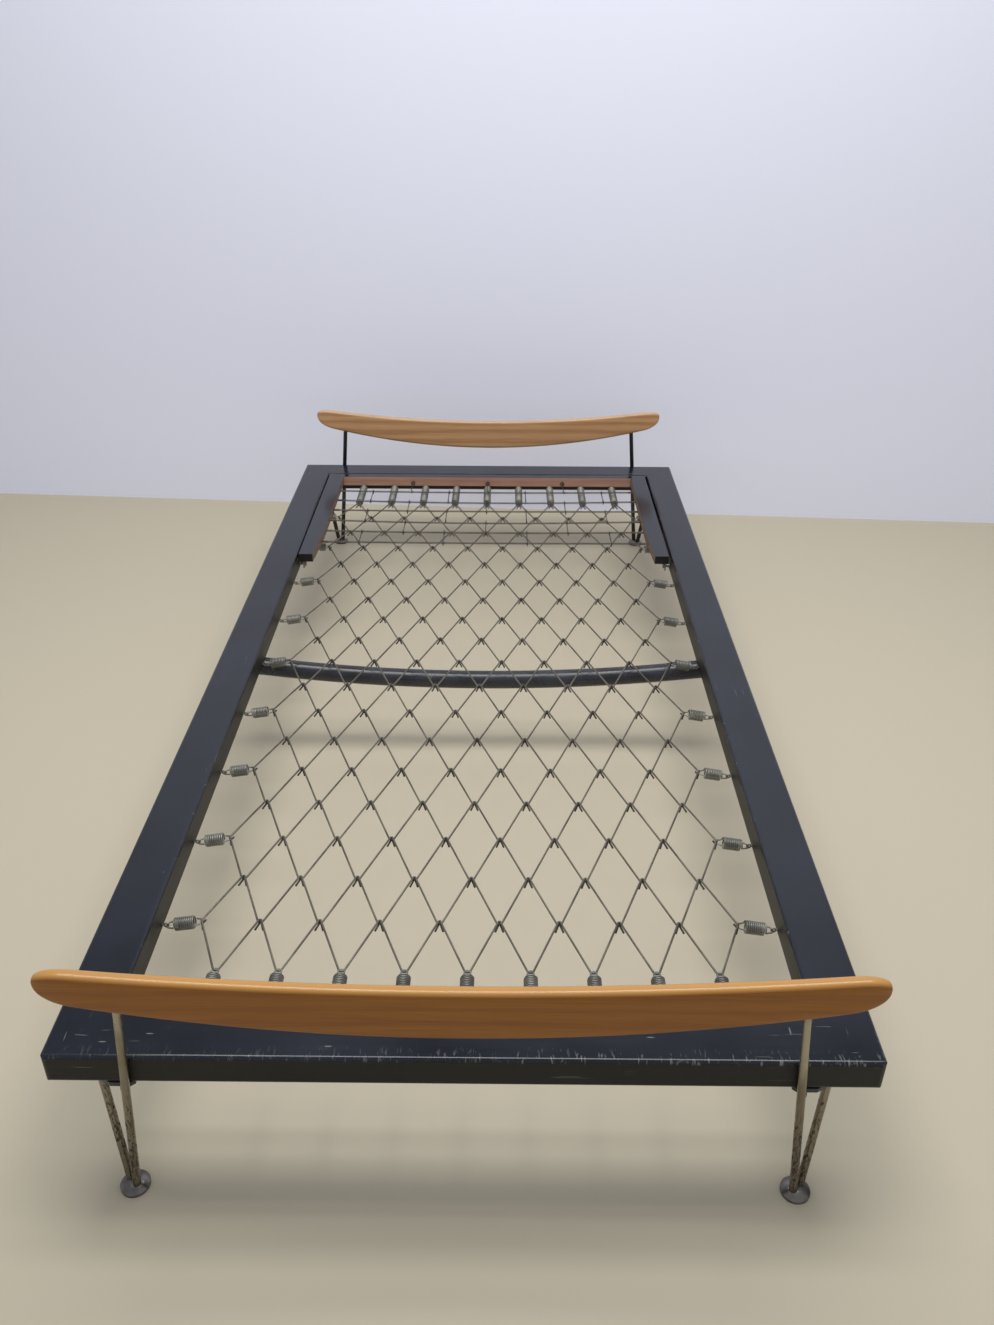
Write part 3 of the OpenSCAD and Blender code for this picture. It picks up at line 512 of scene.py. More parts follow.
def boardMaterial(name, wood):
    material, tree, shader, where = startMaterial(name)
    colour, height = woodNodes(tree, where, wood)
    facing = separate(tree, where.outputs["Normal"])
    # Faces that look up are painted lighter: a painted highlight along the varnished top edge
    paintedHighlight = step(tree, facing[2], *varnish["edgeRange"], (0.0, varnish["edgeMix"]))
    colour = mixColour(tree, paintedHighlight, colour, wood["edge"])
    mottle = noise(tree, where.outputs["Object"], **varnish["mottle"])
    rough = step(tree, mottle, *varnish["mottleRange"], varnish["rough"])
    wire(tree, shader, colour=colour, rough=rough, normal=bump(tree, height, *varnish["bump"]),
         specular=varnish["specular"], coat=varnish["coat"], coatRough=varnish["coatRough"])
    return material


# Lacquer everywhere but on the faces that look along the given direction, which are bare wood
def partBareMaterial(name, lacquerAxis, direction, wood):
    material, tree, shader, where = startMaterial(name)
    colour, rough, normal = lacquerNodes(tree, where, lacquerAxis)
    woodColour = woodNodes(tree, where, wood)[0]
    facing = put(tree, "ShaderNodeVectorMath", {0: where.outputs["Normal"], 1: direction},
                 operation="DOT_PRODUCT").outputs["Value"]
    bare = step(tree, facing, *wood["bareRange"])
    colour = mixColour(tree, bare, colour, woodColour)
    rough = calc(tree, "ADD", rough, times(tree, bare, wood["bareRough"]), clamp=True)
    wire(tree, shader, colour=colour, rough=rough, normal=normal)
    return material


def bareWoodMaterial():
    material, tree, shader, where = startMaterial("bareBeech")
    colour, height = woodNodes(tree, where, bareWood)
    wire(tree, shader, colour=colour, rough=bareWood["rough"],
         normal=bump(tree, height, *bareWood["bump"]))
    return material


nickel = {
    "rod": {"clean": (0.440, 0.400, 0.325), "dull": (0.250, 0.220, 0.165), "browning": 0.55,
            "rustFrom": 0.55, "stretch": (1, 1, 0.3)},
    "oldRod": {"clean": (0.060, 0.060, 0.062), "dull": (0.026, 0.025, 0.026), "browning": 0.1,
               "rustFrom": 0.55, "stretch": (1, 1, 0.3)},
    "disc": {"clean": (0.220, 0.205, 0.190), "dull": (0.055, 0.047, 0.043), "browning": 0.15,
             "rustFrom": 0.64, "stretch": (1, 1, 1)},
    "rust": (0.050, 0.033, 0.021),
    "brown": (0.130, 0.098, 0.066),
    "cloud": {"scale": 40.0, "detail": 4},
    "cloudRange": (0.42, 0.7),    # from clean to dull
    "cloudRough": 0.5,
    "spots": {"scale": 360.0, "detail": 4, "rough": 0.7},
    "patch": {"scale": 9.0, "detail": 2},
    "spotShare": 0.7,    # of the rust's noise, the rest being patches
    "rustFade": 0.035,
    "lowRange": (0.23, 0.12),    # heights between which the rods turn rusty and brown
    "highLess": 0.12,    # taken off the rust's noise above them
    "rough": (0.22, 0.8),
    "roughRange": (0.15, 1.2),
    "metal": (0.92, 0.1),    # clean and rusty
    "bump": (0.25, 0.0003),
}


# Worn plating: clouded metal with dark rust spots, more of them towards the floor
def nickelMaterial(name, kind):
    material, tree, shader, where = startMaterial(name)
    place = where.outputs["Object"]
    plate = nickel[kind]
    cloud, spots, patch = noises(tree, place, nickel, "cloud", "spots", "patch",
                                 stretch=plate["stretch"])
    low = step(tree, separate(tree, place)[2], *nickel["lowRange"])
    rust = calc(tree, "SUBTRACT", weighed(tree, spots, patch, nickel["spotShare"]),
                between(tree, low, nickel["highLess"], 0.0))
    rust = step(tree, rust, plate["rustFrom"], plate["rustFrom"] + nickel["rustFade"])
    dull = step(tree, cloud, *nickel["cloudRange"])
    colour = mixColour(tree, dull, plate["clean"], plate["dull"])
    colour = mixColour(tree, times(tree, low, plate["browning"]), colour, nickel["brown"])
    colour = mixColour(tree, rust, colour, nickel["rust"])
    rough = calc(tree, "ADD", times(tree, cloud, nickel["cloudRough"]), rust)
    rough = step(tree, rough, *nickel["roughRange"], nickel["rough"])
    wire(tree, shader, colour=colour, rough=rough, metal=between(tree, rust, *nickel["metal"]),
         normal=bump(tree, times(tree, rust, -1.0), *nickel["bump"]))
    return material


springSteel = {
    "coil": {"clean": (0.290, 0.285, 0.255), "dull": (0.180, 0.175, 0.155), "browning": 0.35},
    "net": {"clean": (0.205, 0.185, 0.145), "dull": (0.110, 0.098, 0.078), "browning": 0.9},
    "hook": {"clean": (0.075, 0.068, 0.056), "dull": (0.036, 0.032, 0.027), "browning": 0.9},
    "brown": (0.060, 0.042, 0.027),
    "dark": (0.030, 0.027, 0.022),
    "cloud": {"scale": 24.0},
    "cloudRange": (0.36, 0.66),
    "fine": {"scale": 240.0, "detail": 3, "rough": 0.7},
    "fineRange": (0.5, 0.66),
    "patch": {"scale": 7.0},
    "patchRange": (0.45, 0.62),
    "hookTop": 0.1934,    # the net's hooks are darker from this height down to their prongs: partly painted shade under the wires, partly oxidised wire
    "hookFade": 0.0026,
    "hookMix": 0.75,
    "rough": (0.34, 0.55),
    "roughRange": (0.3, 0.7),
    "metal": (0.7, 0.3),    # clean and brown
    "bump": (0.15, 0.0002),
}


def wireMaterial(name, kind, darkHooks=False):
    material, tree, shader, where = startMaterial(name)
    place = where.outputs["Object"]
    steel = springSteel[kind]
    cloud, fine, patch = noises(tree, place, springSteel, "cloud", "fine", "patch")
    dull = step(tree, cloud, *springSteel["cloudRange"])
    colour = mixColour(tree, dull, steel["clean"], steel["dull"])
    brown = times(tree, step(tree, fine, *springSteel["fineRange"]),
                  step(tree, patch, *springSteel["patchRange"]))
    brown = times(tree, brown, steel["browning"])
    colour = mixColour(tree, brown, colour, springSteel["brown"])
    # Hooks and prongs below the wire plane are painted darker: partly painted shade, partly
    # oxidised wire
    if darkHooks:
        top = springSteel["hookTop"]
        low = step(tree, separate(tree, place)[2], top, top - springSteel["hookFade"])
        low = times(tree, low, springSteel["hookMix"])
        colour = mixColour(tree, low, colour, springSteel["dark"])
    wire(tree, shader, colour=colour, metal=between(tree, brown, *springSteel["metal"]),
         rough=step(tree, fine, *springSteel["roughRange"], springSteel["rough"]),
         normal=bump(tree, fine, *springSteel["bump"]))
    return material


enamel = {
    "stops": ((0.35, (0.014, 0.015, 0.019)), (0.75, (0.040, 0.042, 0.052))),
    "bare": (0.11, 0.095, 0.075),
    "dust": {"scale": 18.0, "detail": 4},
    "chips": {"scale": 60.0, "detail": 4, "rough": 0.7},
    "chipRange": (0.66, 0.69),
    "rough": (0.18, 0.36),
    "roughRange": (0.3, 0.75),
    "bump": (0.06, 0.0003),
}


# Gloss black enamel on metal, dusty, with small bare spots
def enamelMaterial():
    material, tree, shader, where = startMaterial("blackEnamel")
    dust, chips = noises(tree, where.outputs["Object"], enamel, "dust", "chips")
    colour = ramp(tree, dust, enamel["stops"])
    colour = mixColour(tree, step(tree, chips, *enamel["chipRange"]), colour, enamel["bare"])
    rough = step(tree, dust, *enamel["roughRange"], enamel["rough"])
    wire(tree, shader, colour=colour, rough=rough, normal=bump(tree, chips, *enamel["bump"]))
    return material


fittingSteel = {
    "stops": ((0.35, (0.33, 0.32, 0.30)), (0.7, (0.17, 0.15, 0.13))),
    "cloud": {"scale": 45.0, "detail": 4},
    "mill": {"scale": 160.0, "stretch": (1, 0.06, 1), "detail": 3},
    "rough": (0.3, 0.52),
    "roughRange": (0.3, 0.7),
    "bump": (0.1, 0.0002),
    "metal": 0.9,
}


def fittingMaterial():
    material, tree, shader, where = startMaterial("plainSteel")
    mill, cloud = noises(tree, where.outputs["Object"], fittingSteel, "mill", "cloud")
    colour = ramp(tree, cloud, fittingSteel["stops"])
    rough = step(tree, mill, *fittingSteel["roughRange"], fittingSteel["rough"])
    wire(tree, shader, colour=colour, rough=rough, metal=fittingSteel["metal"],
         normal=bump(tree, mill, *fittingSteel["bump"]))
    return material


finish = {
    "lacquerLong": lacquerMaterial("lacquerAlongBed", 1),
    "lacquerAcross": lacquerMaterial("lacquerAcrossBed", 0),
    "armLeft": partBareMaterial("armLeftFinish", 1, (1, 0, 0), shadedArmWood),
    "armRight": partBareMaterial("armRightFinish", 1, (-1, 0, 0), shadedArmWood),
    "crossbar": partBareMaterial("crossbarFinish", 0, (0, -1, 0), bareWood),
    "board": boardMaterial("varnishedBeech", beech),
    "farBoard": boardMaterial("varnishedBeechPaintedLighter", beechPaintedLighter),
    "bare": bareWoodMaterial(),
    "rod": nickelMaterial("wornRod", "rod"),
    "oldRod": nickelMaterial("darkRod", "oldRod"),
    "disc": nickelMaterial("wornDisc", "disc"),
    "wire": wireMaterial("oiledWire", "coil"),
    "net": wireMaterial("netWire", "net", True),
    "hook": wireMaterial("darkWire", "hook"),
    "enamel": enamelMaterial(),
    "fitting": fittingMaterial(),
}
# start of a CAD node's name, and its finish; all others are fittings
nodeFinishes = {
    "side_rail": "lacquerLong",
    "foot_rail": "lacquerAcross",
    "head_rail": "lacquerAcross",
    "headrest_arm_left": "armLeft",
    "headrest_arm_right": "armRight",
    "headrest_crossbar": "crossbar",
    "corner_dowels": "bare",
    "headrest_dowels": "bare",
    "post_rod_head": "oldRod",
    "brace_rod_head": "oldRod",
    "post_rod_foot": "rod",
    "brace_rod_foot": "rod",
    "foot_disc": "disc",
    "leg_plate": "enamel",
    "cross_tube": "enamel",
    "rail_eyes": "wire",
    "headrest_eyes": "wire",
}


def dressNodes():
    for name, node in nodes.items():
        chosen = next((kind for start, kind in nodeFinishes.items() if name.startswith(start)),
                      "fitting")
        node.data.materials.clear()
        node.data.materials.append(finish[chosen])


dressNodes()
print("finishes made and CAD nodes dressed")


# Crescent end boards
board = {
    "pieces": (("footboard", -1, 0.45, "board"), ("headboard", 1, 0.439, "farBoard")),
    "middleHeight": 0.07,
    "thickness": 0.016,
    "middleZ": 0.3039,
    "rise": 0.043,
    "taper": 0.028,
    "noseLength": 0.043,
    "nosePower": 2.6,
    "noseUp": 0.005,
    "tipThickness": 0.35,    # share of the thickness that is left at a tip
    "thinFrom": 0.006,    # half height below which the board also thins
    "thinLeast": 0.2,
    "bow": 0.005,
    "rodX": 0.377,
    "rodY": 0.9585,
    "edgeRadius": 0.0062,
    "edgeMost": 0.9,    # share of the half height or thickness that an edge may take
    "stations": 150,
    "noseStations": 22,
    "noseTurn": 89.6,    # degrees round the nose at its last station
    "cornerSteps": 6,
    "flatSteps": 5,
}


def boardNose(x, half):
    past = (abs(x) - half + board["noseLength"]) / board["noseLength"]
    power = board["nosePower"]
    return 1.0 if past < 0 else max(0.0, 1 - past ** power) ** (1 / power)


# The points round the board at x: a tall rectangle with round corners
def boardRing(x, half):
    share = (x / half) ** 2
    nose = boardNose(x, half)
    tall = (board["middleHeight"] - board["taper"] * share) / 2 * nose
    thick = (board["thickness"] / 2 * (board["tipThickness"] + (1 - board["tipThickness"]) * nose)
             * min(1.0, tall / board["thinFrom"] + board["thinLeast"]))
    radius = min(board["edgeRadius"], tall * board["edgeMost"], thick * board["edgeMost"])
    midZ = board["middleZ"] + board["rise"] * share + board["noseUp"] * (1 - nose)
    midY = board["rodY"] + board["bow"] * (share - (board["rodX"] / half) ** 2)
    ring = []
    for quarter in range(4):
        signY = 1 if quarter in (0, 3) else -1
        signZ = 1 if quarter < 2 else -1
        for i in range(board["cornerSteps"] + 1):
            angle = math.radians(90 * quarter + 90 * i / board["cornerSteps"])
            ring.append(Vector((x, midY + signY * (thick - radius) + radius * math.cos(angle),
                                midZ + signZ * (tall - radius) + radius * math.sin(angle))))
        if quarter in (1, 3):    # a broad face follows, with points of its own
            start = ring[-1]
            following = math.radians(90 * (quarter + 1))
            endZ = midZ - signZ * (tall - radius) + radius * math.sin(following)
            for i in range(1, board["flatSteps"]):
                ring.append(start.lerp(Vector((x, start.y, endZ)), i / board["flatSteps"]))
    return ring


def loft(rings):
    count = len(rings[0])
    verts = [point for ring in rings for point in ring]
    faces = []
    for i in range(len(rings) - 1):
        for j in range(count):
            a, b = i * count + j, i * count + (j + 1) % count
            faces.append((a, b, b + count, a + count))
    faces.append(tuple(range(count - 1, -1, -1)))
    last = (len(rings) - 1) * count
    faces.append(tuple(range(last, last + count)))
    return verts, faces


def outwards(piece):
    shape = bmesh.new()
    shape.from_mesh(piece.data)
    bmesh.ops.recalc_face_normals(shape, faces=shape.faces)
    shape.to_mesh(piece.data)
    shape.free()


# X of every ring: even steps between the noses, closing up round each nose
def boardStations(half):
    steps, noseSteps = board["stations"], board["noseStations"]
    inner = half - board["noseLength"]
    middle = [inner * (2 * i / steps - 1) for i in range(steps + 1)]
    turns = [math.radians(board["noseTurn"] * i / noseSteps) for i in range(1, noseSteps + 1)]
    right = [half - board["noseLength"] * (1 - math.sin(turn)) for turn in turns]
    return [-x for x in reversed(right)] + middle + right


def makeBoards():
    for name, side, half, kind in board["pieces"]:
        rings = [[Vector((p.x, side * p.y, p.z)) for p in boardRing(x, half)]
                 for x in boardStations(half)]
        piece = meshObject(name + "Crescent", *loft(rings), finish[kind], smooth=True)
        outwards(piece)
        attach(piece, "frame")
        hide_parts(name)


makeBoards()
print("end boards made")


# Wire pieces by Geometry Nodes: a tree that sweeps a round wire along a path
# and sets a copy at every point, turned by the point's `turn`
def wireTree():
    tree = bpy.data.node_groups.new("wireAtPoints", "GeometryNodeTree")
    for label, kind in (("Points", "Geometry"), ("Path", "Object"), ("Wire Radius", "Float"),
                        ("Sides", "Int"), ("Finish", "Material")):
        tree.interface.new_socket(label, in_out="INPUT", socket_type="NodeSocket" + kind)
    tree.interface.new_socket("Pieces", in_out="OUTPUT", socket_type="NodeSocketGeometry")
    given = tree.nodes.new("NodeGroupInput").outputs
    path = put(tree, "GeometryNodeObjectInfo", {"Object": given["Path"]})
    rim = put(tree, "GeometryNodeCurvePrimitiveCircle", {"Resolution": given["Sides"],
                                                         "Radius": given["Wire Radius"]})
    swept = put(tree, "GeometryNodeCurveToMesh", {"Curve": path.outputs["Geometry"],
                                                  "Profile Curve": rim.outputs["Curve"],
                                                  "Fill Caps": True})
    turn = put(tree, "GeometryNodeInputNamedAttribute", {"Name": "turn"}, data_type="FLOAT_VECTOR")
    copies = put(tree, "GeometryNodeInstanceOnPoints", {"Points": given["Points"],
                                                        "Instance": swept.outputs["Mesh"],
                                                        "Rotation": turn.outputs["Attribute"]})
    real = put(tree, "GeometryNodeRealizeInstances", {"Geometry": copies.outputs["Instances"]})
    smooth = put(tree, "GeometryNodeSetShadeSmooth", {"Geometry": real.outputs["Geometry"]})
    dressed = put(tree, "GeometryNodeSetMaterial", {"Geometry": smooth.outputs["Geometry"],
                                                    "Material": given["Finish"]})
    put(tree, "NodeGroupOutput", {0: dressed.outputs["Geometry"]})
    return tree


wireNodes = wireTree()


def pathObject(name, points):
    curve = bpy.data.curves.new(name, "CURVE")
    curve.dimensions = "3D"
    line = curve.splines.new("POLY")
    line.points.add(len(points) - 1)
    line.points.foreach_set("co", [value for p in points for value in (*p, 1.0)])
    return addObject(name, curve)


# places is a list of (position, turn), turn being XYZ angles in radians; gauge is the wire's
# radius and number of sides
def makeWires(name, body, places, path, gauge, replaced=(), kind="wire"):
    carrier = meshObject(name + "Points", [p for p, _ in places], [])
    turn = carrier.data.attributes.new("turn", "FLOAT_VECTOR", "POINT")
    turn.data.foreach_set("vector", [value for _, t in places for value in t])
    guide = pathObject(name + "Path", path)
    modifier = carrier.modifiers.new("wire", "NODES")
    modifier.node_group = wireNodes
    values = {"Path": guide, "Wire Radius": gauge[0], "Sides": gauge[1], "Finish": finish[kind]}
    for item in wireNodes.interface.items_tree:
        if item.in_out == "INPUT" and item.name in values:
            modifier[item.identifier] = values[item.name]
    graph = bpy.context.evaluated_depsgraph_get()
    mesh = bpy.data.meshes.new_from_object(carrier.evaluated_get(graph), depsgraph=graph)
    piece = addObject(name, mesh)
    for helper in (carrier, guide):
        bpy.data.objects.remove(helper)
    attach(piece, body)
    if replaced:
        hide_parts(*replaced)


net = {
    "rows": 18,
    "columns": 9,
    "firstRowY": -0.792,
    "lastRowY": 0.745,
    "edgeX": 0.3555,
    "planeZ": 0.194,
    "hingeRow": 14,    # the first row that turns with the headrest
    "gauge": (0.00145, 8),
    "bendRadius": 0.0043,
    "bendSteps": 10,
    "hookHeight": 0.003,    # centre of the hook above and below the wire it holds
    "hingeHook": 0.0035,    # the same for the hooks on the hinge line, where the held wire turns
    "hookSteps": 6,
    "hookX": 0.00155,
    "hookY": 0.00028,
    "prong": 0.0115,
    "prongIn": 0.0007,
    "prongDown": 0.001,
    "edgeStart": (0.003, 0.0012),    # where an edge link leaves its side spring's loop
}
rowPitch = (net["lastRowY"] - net["firstRowY"]) / net["rows"]
columnPitch = 2 * net["edgeX"] / net["columns"]


def rowY(k):
    return net["firstRowY"] + k * rowPitch


# The hooked end of a link that runs level along `along` to `target`, round the wire there
# and back below
def hookPoints(target, along, inward, hook):
    lift = Vector((0, 0, hook))
    points = []
    for i in range(net["hookSteps"] + 1):
        angle = math.radians(90 - 180 * i / net["hookSteps"])
        points.append(target + along * hook * math.cos(angle) + lift * math.sin(angle))
    drop = Vector((0, 0, net["prongDown"]))
    tip = points[-1] - along * net["prong"] + inward * net["prongIn"] - drop
    return points + [points[-1].lerp(tip, 0.5), tip]


# A link: a bend at the origin and two legs towards the head end, hooked over the next row's bends
def linkPath(hook):
    radius = net["bendRadius"]
    target = Vector((columnPitch / 2 - net["hookX"], rowPitch + net["hookY"], 0))
    reach = math.hypot(target.x, target.y - radius)
    lean = math.atan2(target.x, target.y - radius) - math.asin(radius / reach)
    along = Vector((math.sin(lean), math.cos(lean), 0))
    inward = Vector((along.y, -along.x, 0))
    start = Vector((radius * math.cos(lean), radius * (1 - math.sin(lean)), 0))
    half = start.lerp(target + Vector((0, 0, hook)), 0.5)
    right = [start, half] + hookPoints(target, along, inward, hook)
    bend = []
    for i in range(1, net["bendSteps"]):
        angle = -lean - (math.pi - 2 * lean) * i / net["bendSteps"]
        bend.append(Vector((radius * math.cos(angle), radius * (1 + math.sin(angle)), 0)))
    left = [Vector((-p.x, p.y, p.z)) for p in right]
    return list(reversed(right)) + bend + left


# A single leg from a side spring's loop to the outer bend of the next row;
# side is +1 right, -1 left
def edgeLinkPath(side, hook):
    target = Vector((-side * (columnPitch / 2 - net["hookX"]), rowPitch + net["hookY"], 0))
    start = Vector((-side * net["edgeStart"][0], net["edgeStart"][1], 0))
    along = (target - start).normalized()
    inward = Vector((-side * along.y, side * along.x, 0))
    lower = hookPoints(start, -along, Vector((0, 0, 0)), net["hookHeight"])[:-1]
    return list(reversed(lower)) + hookPoints(target, along, inward, hook)


def linkPlaces(rows):
    level = (0, 0, 0)
    full, edges = [], {1: [], -1: []}
    for k in rows:
        count = net["columns"] - k % 2
        full += [(((i - (count - 1) / 2) * columnPitch, rowY(k), net["planeZ"]), level)
                 for i in range(count)]
        if k % 2:
            for side in edges:
                edges[side].append(((side * net["edgeX"], rowY(k), net["planeZ"]), level))
    return full, edges


def makeNet():
    hinge, usual = net["hingeRow"], net["hookHeight"]
    parts = (("net", "frame", range(hinge - 1), usual, ("net_links_main",)),
             ("netHinge", "frame", (hinge - 1,), net["hingeHook"], ()),
             ("netHead", "headrest", range(hinge, net["rows"]), usual, ("net_links_head",)))
    for name, body, rows, hook, replaced in parts:
        full, edges = linkPlaces(rows)
        makeWires(name + "Links", body, full, linkPath(hook), net["gauge"], replaced, kind="net")
        for label, side in sides.items():
            makeWires(name + "EdgeLinks" + label, body, edges[side], edgeLinkPath(side, hook),
                      net["gauge"], kind="net")


makeNet()
print("net made")


# Coil springs. Tips are the far points of a spring's loops and body is where it is wound, along
# the spring from the net's bend; the second tip of foot and head is from the end of their run
coil = {
    "outerDiameter": 0.0183,
    "wireDiameter": 0.0023,
    "wireSides": 7,
    "pitch": 0.0029,
    "stepsPerTurn": 16,
    "narrowLeast": 0.45,    # share of the radius at the very end of a narrowing body
    "narrowPower": 0.6,
    "loopSteps": 10,
    "loopStart": (0.0015, 0.86),    # past the body's end, and out from its middle
    "sideSlope": 7 / 42,    # drop over run, from the net to the screw eyes
    "railY": 0.882,    # inner face of the foot rail, from the middle
    "side": {"tips": (-0.0025, 0.0462), "body": (0.008, 0.0345), "loop": 0.0055, "narrow": 0},
    "arm": {"tips": (-0.0025, 0.0275), "body": (0.006, 0.0205), "loop": 0.0042, "narrow": 0},
    "foot": {"tips": (-0.0028, -0.0045), "body": (0.0078, 0.0745), "loop": 0.004, "narrow": 0.8},
    "head": {"tips": (-0.0028, -0.0025), "body": (0.01, 0.1085), "loop": 0.0042, "narrow": 0.8},
}


# A D-shaped loop in the level plane, from the far side round to the body's first or last point
def springLoop(tip, edge, join, radius):
    direction = 1 if tip > edge else -1
    centreX = tip - direction * radius
    past, out = coil["loopStart"]
    points = [Vector((edge + direction * past, -join.y * out, join.z))]
    for i in range(coil["loopSteps"] + 1):
        angle = math.radians(-90 + 180 * i / coil["loopSteps"])
        points.append(Vector((centreX + direction * radius * math.cos(angle),
                              math.copysign(radius, join.y) * math.sin(angle), join.z)))
    return points


# Wire of a tension spring along +X: a loop at each end and a close-wound body between them
def springPath(spring, run=0.0):
    start, end = spring["tips"][0], run + spring["tips"][1]
    bodyFrom, bodyTo = spring["body"]
    radius = (coil["outerDiameter"] - coil["wireDiameter"]) / 2
    turns = max(2, round((bodyTo - bodyFrom) / coil["pitch"])) + 0.5
    steps = int(turns * coil["stepsPerTurn"])
    least = coil["narrowLeast"]
    body = []
    for i in range(steps + 1):
        turned = turns * i / steps
        size = radius
        if spring["narrow"]:    # in turns from each end
            grown = min(1.0, min(turned, turns - turned) / spring["narrow"])
            size = radius * (least + (1 - least) * grown ** coil["narrowPower"])
        angle = 2 * math.pi * turned
        body.append(Vector((bodyFrom + (bodyTo - bodyFrom) * i / steps,
                            size * math.cos(angle), size * math.sin(angle))))
    first = springLoop(start, bodyFrom, body[0], spring["loop"])
    last = springLoop(end, bodyTo, body[-1], spring["loop"])
    return first + body + list(reversed(last))


def makeSprings():
    gauge = (coil["wireDiameter"] / 2, coil["wireSides"])
    slope = math.atan(coil["sideSlope"])
    quarter = math.pi / 2
    edgeX, planeZ = net["edgeX"], net["planeZ"]
    columns = [(i - (net["columns"] - 1) / 2) * columnPitch for i in range(net["columns"])]

    sidePath = springPath(coil["side"])
    for label, side in sides.items():
        turn = (0, slope, 0) if side > 0 else (0, slope, math.pi)
        places = [((side * edgeX, rowY(k), planeZ), turn) for k in range(1, net["hingeRow"], 2)]
        makeWires("sideSprings" + label, "frame", places, sidePath, gauge,
                  ("side_springs_" + label.lower(),))

    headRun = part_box("headrest_eyes")[1].y - net["lastRowY"]
    ends = (("foot", "frame", 0, -quarter, coil["railY"] + net["firstRowY"]),
            ("head", "headrest", net["rows"], quarter, headRun))
    for name, body, row, turn, run in ends:
        places = [((x, rowY(row), planeZ), (0, 0, turn)) for x in columns]
        makeWires(name + "Springs", body, places, springPath(coil[name], run), gauge,
                  (name + "_springs",))

    armRows = range(net["hingeRow"] + 1, net["rows"], 2)
    places = [((side * edgeX, rowY(k), planeZ), (0, 0, 0 if side > 0 else math.pi))
              for side in sides.values() for k in armRows]
    makeWires("armSprings", "headrest", places, springPath(coil["arm"]), gauge, ("arm_springs",))


makeSprings()
print("springs made")


# Web of thin springs on the headrest
web = {
    "outerDiameter": 0.0056,
    "wireDiameter": 0.002,
    "wireSides": 5,
    "pitch": 0.0042,
    "stepsPerTurn": 11,
    "sags": (0.003, 0.0055, 0.002, 0.006, 0.0035, 0.0015),    # one spring each
    "knotTurns": 7,    # close turns at each end of a spring
    "endGap": 0.001,    # from a spring's end to that of its CAD node
    "linkWire": 0.0022,
    "linkSides": 6,
    "linkCounts": (4, 3),    # in every other gap between springs
    "linkDrop": 0.7,    # of the sag of the spring above
    "ringGap": 0.0004,    # between a link's ring and the spring in it
    "angleStep": 30,    # degrees, as are the turns
    "ringTurn": (-30, 300),
    "ringShift": 0.0006,    # sideways from a link's start to its ring's end
    "ringLead": 0.002,    # straight wire before a ring
    "hookEye": 0.0042,
    "shank": (0.004, -0.001),    # along Y, in the wood and out of it
    "eyeTurn": (0, 360),
    "eyeFrom": 0.002,
    "eyeShift": 0.0002,
    "hookTurn": (60, -210),
    "hookShift": 0.0004,
    "hookLead": (0.001, 0.0005),    # before the hook and above it
    "step": 0.19,    # between links and between hooks
}


# A long thin spring along X that sags in the middle, wound close at both ends
def webPath(reach, centreX, sag):
    radius = (web["outerDiameter"] - web["wireDiameter"]) / 2
    knot = web["knotTurns"] * web["wireDiameter"]
    openTurns = int((2 * reach - 2 * knot) / web["pitch"])
    turns = openTurns + 2 * web["knotTurns"]
    points = []
    for i in range(turns * web["stepsPerTurn"] + 1):
        turned = i / web["stepsPerTurn"]
        if turned < web["knotTurns"]:
            x = knot * turned / web["knotTurns"]
        elif turned > turns - web["knotTurns"]:
            x = 2 * reach - knot * (turns - turned) / web["knotTurns"]
        else:
            x = knot + (2 * reach - 2 * knot) * (turned - web["knotTurns"]) / openTurns
        share = x / (2 * reach)
        angle = 2 * math.pi * turned
        points.append(Vector((centreX - reach + x, radius * math.cos(angle),
                              radius * math.sin(angle) - sag * 4 * share * (1 - share))))
    return points


def webRing():
    return web["outerDiameter"] / 2 + web["linkWire"] / 2 + web["ringGap"]


def turnsRound(first, last):
    stride = math.copysign(web["angleStep"], last - first)
    return [math.radians(first + stride * i) for i in range(round((last - first) / stride) + 1)]


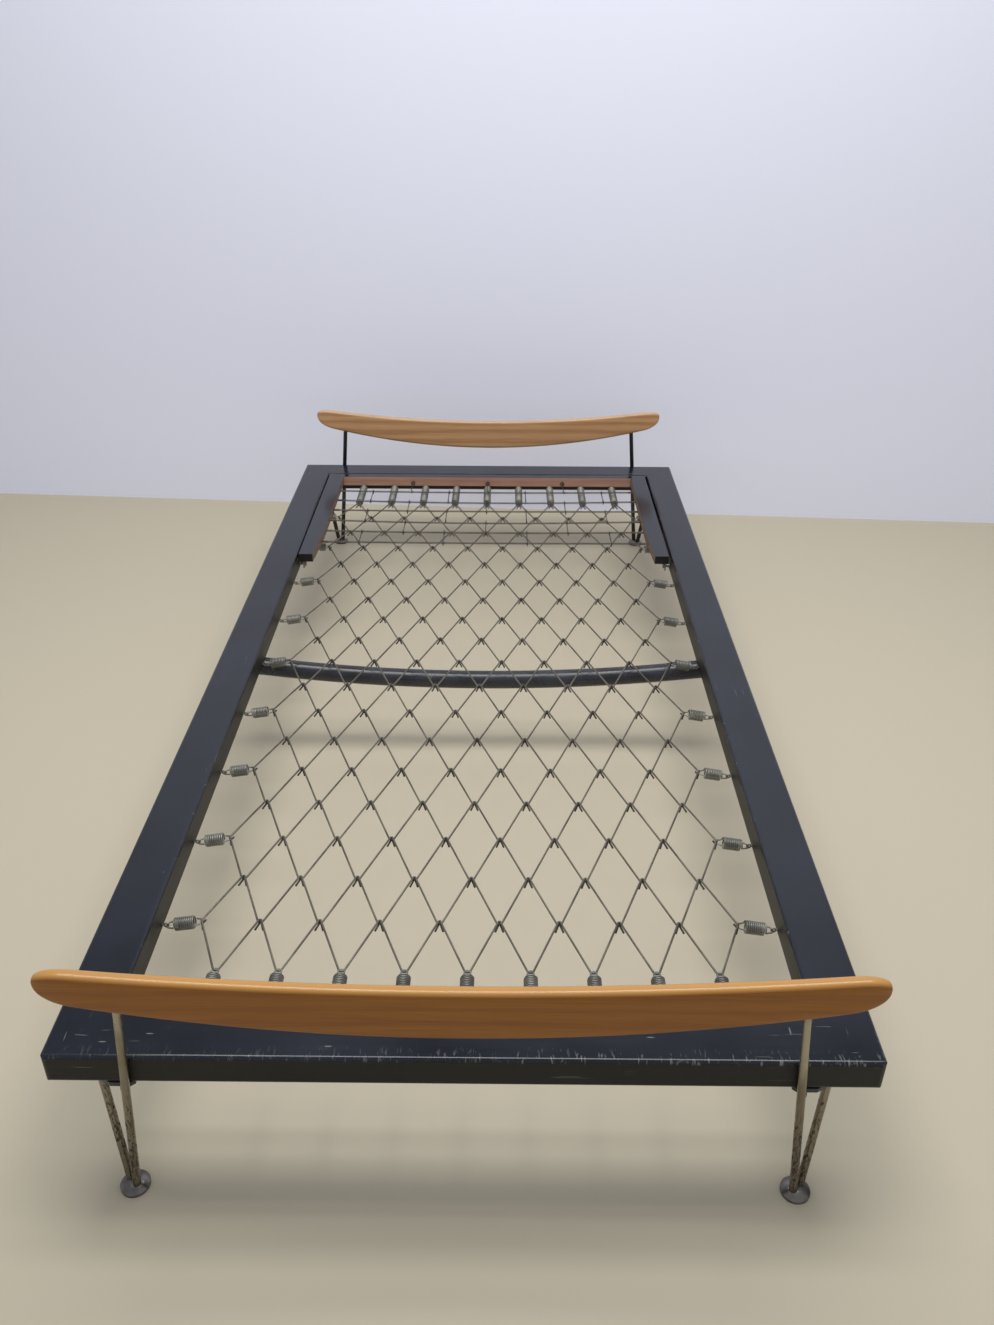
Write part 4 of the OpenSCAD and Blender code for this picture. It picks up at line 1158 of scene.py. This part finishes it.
# Wire from one web spring to the next: a ring round each, and a straight run between them
def webLinkPath(length):
    ring, lead = webRing(), web["ringLead"]
    turns = turnsRound(*web["ringTurn"])
    last = len(turns) - 1
    start = [Vector((web["ringShift"] * i / last, ring * math.sin(a), ring * math.cos(a)))
             for i, a in enumerate(turns)]
    run = [Vector((0, -ring - lead, 0)), Vector((0, -length + ring + lead, 0))]
    return list(reversed(start)) + run + [Vector((p.x, -length - p.y, p.z)) for p in start]


# Screw hook of the crossbar: a shank in the wood, an eye at its face, and a hook round the
# first web spring
def webHookPath(length):
    eye, ring = web["hookEye"], webRing()
    lead, above = web["hookLead"]
    points = [Vector((0, y, 0)) for y in web["shank"]]
    for i, angle in enumerate(turnsRound(*web["eyeTurn"])):
        points.append(Vector((eye * math.sin(angle), -web["eyeFrom"] - web["eyeShift"] * i,
                              eye * (math.cos(angle) - 1))))
    points.append(Vector((0, -length + ring + lead, above)))
    for i, angle in enumerate(turnsRound(*web["hookTurn"])):
        points.append(Vector((web["hookShift"] * i, -length + ring * math.cos(angle),
                              ring * math.sin(angle))))
    return points


def makeWeb():
    low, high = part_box("web_springs")
    middleZ = (low.z + high.z) / 2
    centreX = (low.x + high.x) / 2
    reach = (high.x - low.x) / 2 - web["endGap"]
    lastY, firstY = low.y + web["outerDiameter"] / 2, high.y - web["outerDiameter"] / 2
    gaps = len(web["sags"]) - 1
    pitch = (firstY - lastY) / gaps
    level = (0, 0, 0)
    for i, sag in enumerate(web["sags"]):
        places = [((0, firstY - i * pitch, middleZ), level)]
        makeWires("webSpring" + str(i + 1), "headrest", places, webPath(reach, centreX, sag),
                  (web["wireDiameter"] / 2, web["wireSides"]), () if i else ("web_springs",),
                  kind="net")

    gauge = (web["linkWire"] / 2, web["linkSides"])
    places = []
    for i in range(gaps):
        count = web["linkCounts"][i % 2]
        linkZ = middleZ - web["sags"][i] * web["linkDrop"]
        places += [(((j - (count - 1) / 2) * web["step"], firstY - i * pitch, linkZ), level)
                   for j in range(count)]
    makeWires("webLinks", "headrest", places, webLinkPath(pitch), gauge, ("web_links",),
              kind="hook")

    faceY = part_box("headrest_crossbar")[0].y
    places = [((j * web["step"], faceY, middleZ), level) for j in (-1, 0, 1)]
    makeWires("webHooks", "headrest", places, webHookPath(faceY - firstY), gauge, ("web_hooks",),
              kind="hook")


makeWeb()
print("web made")
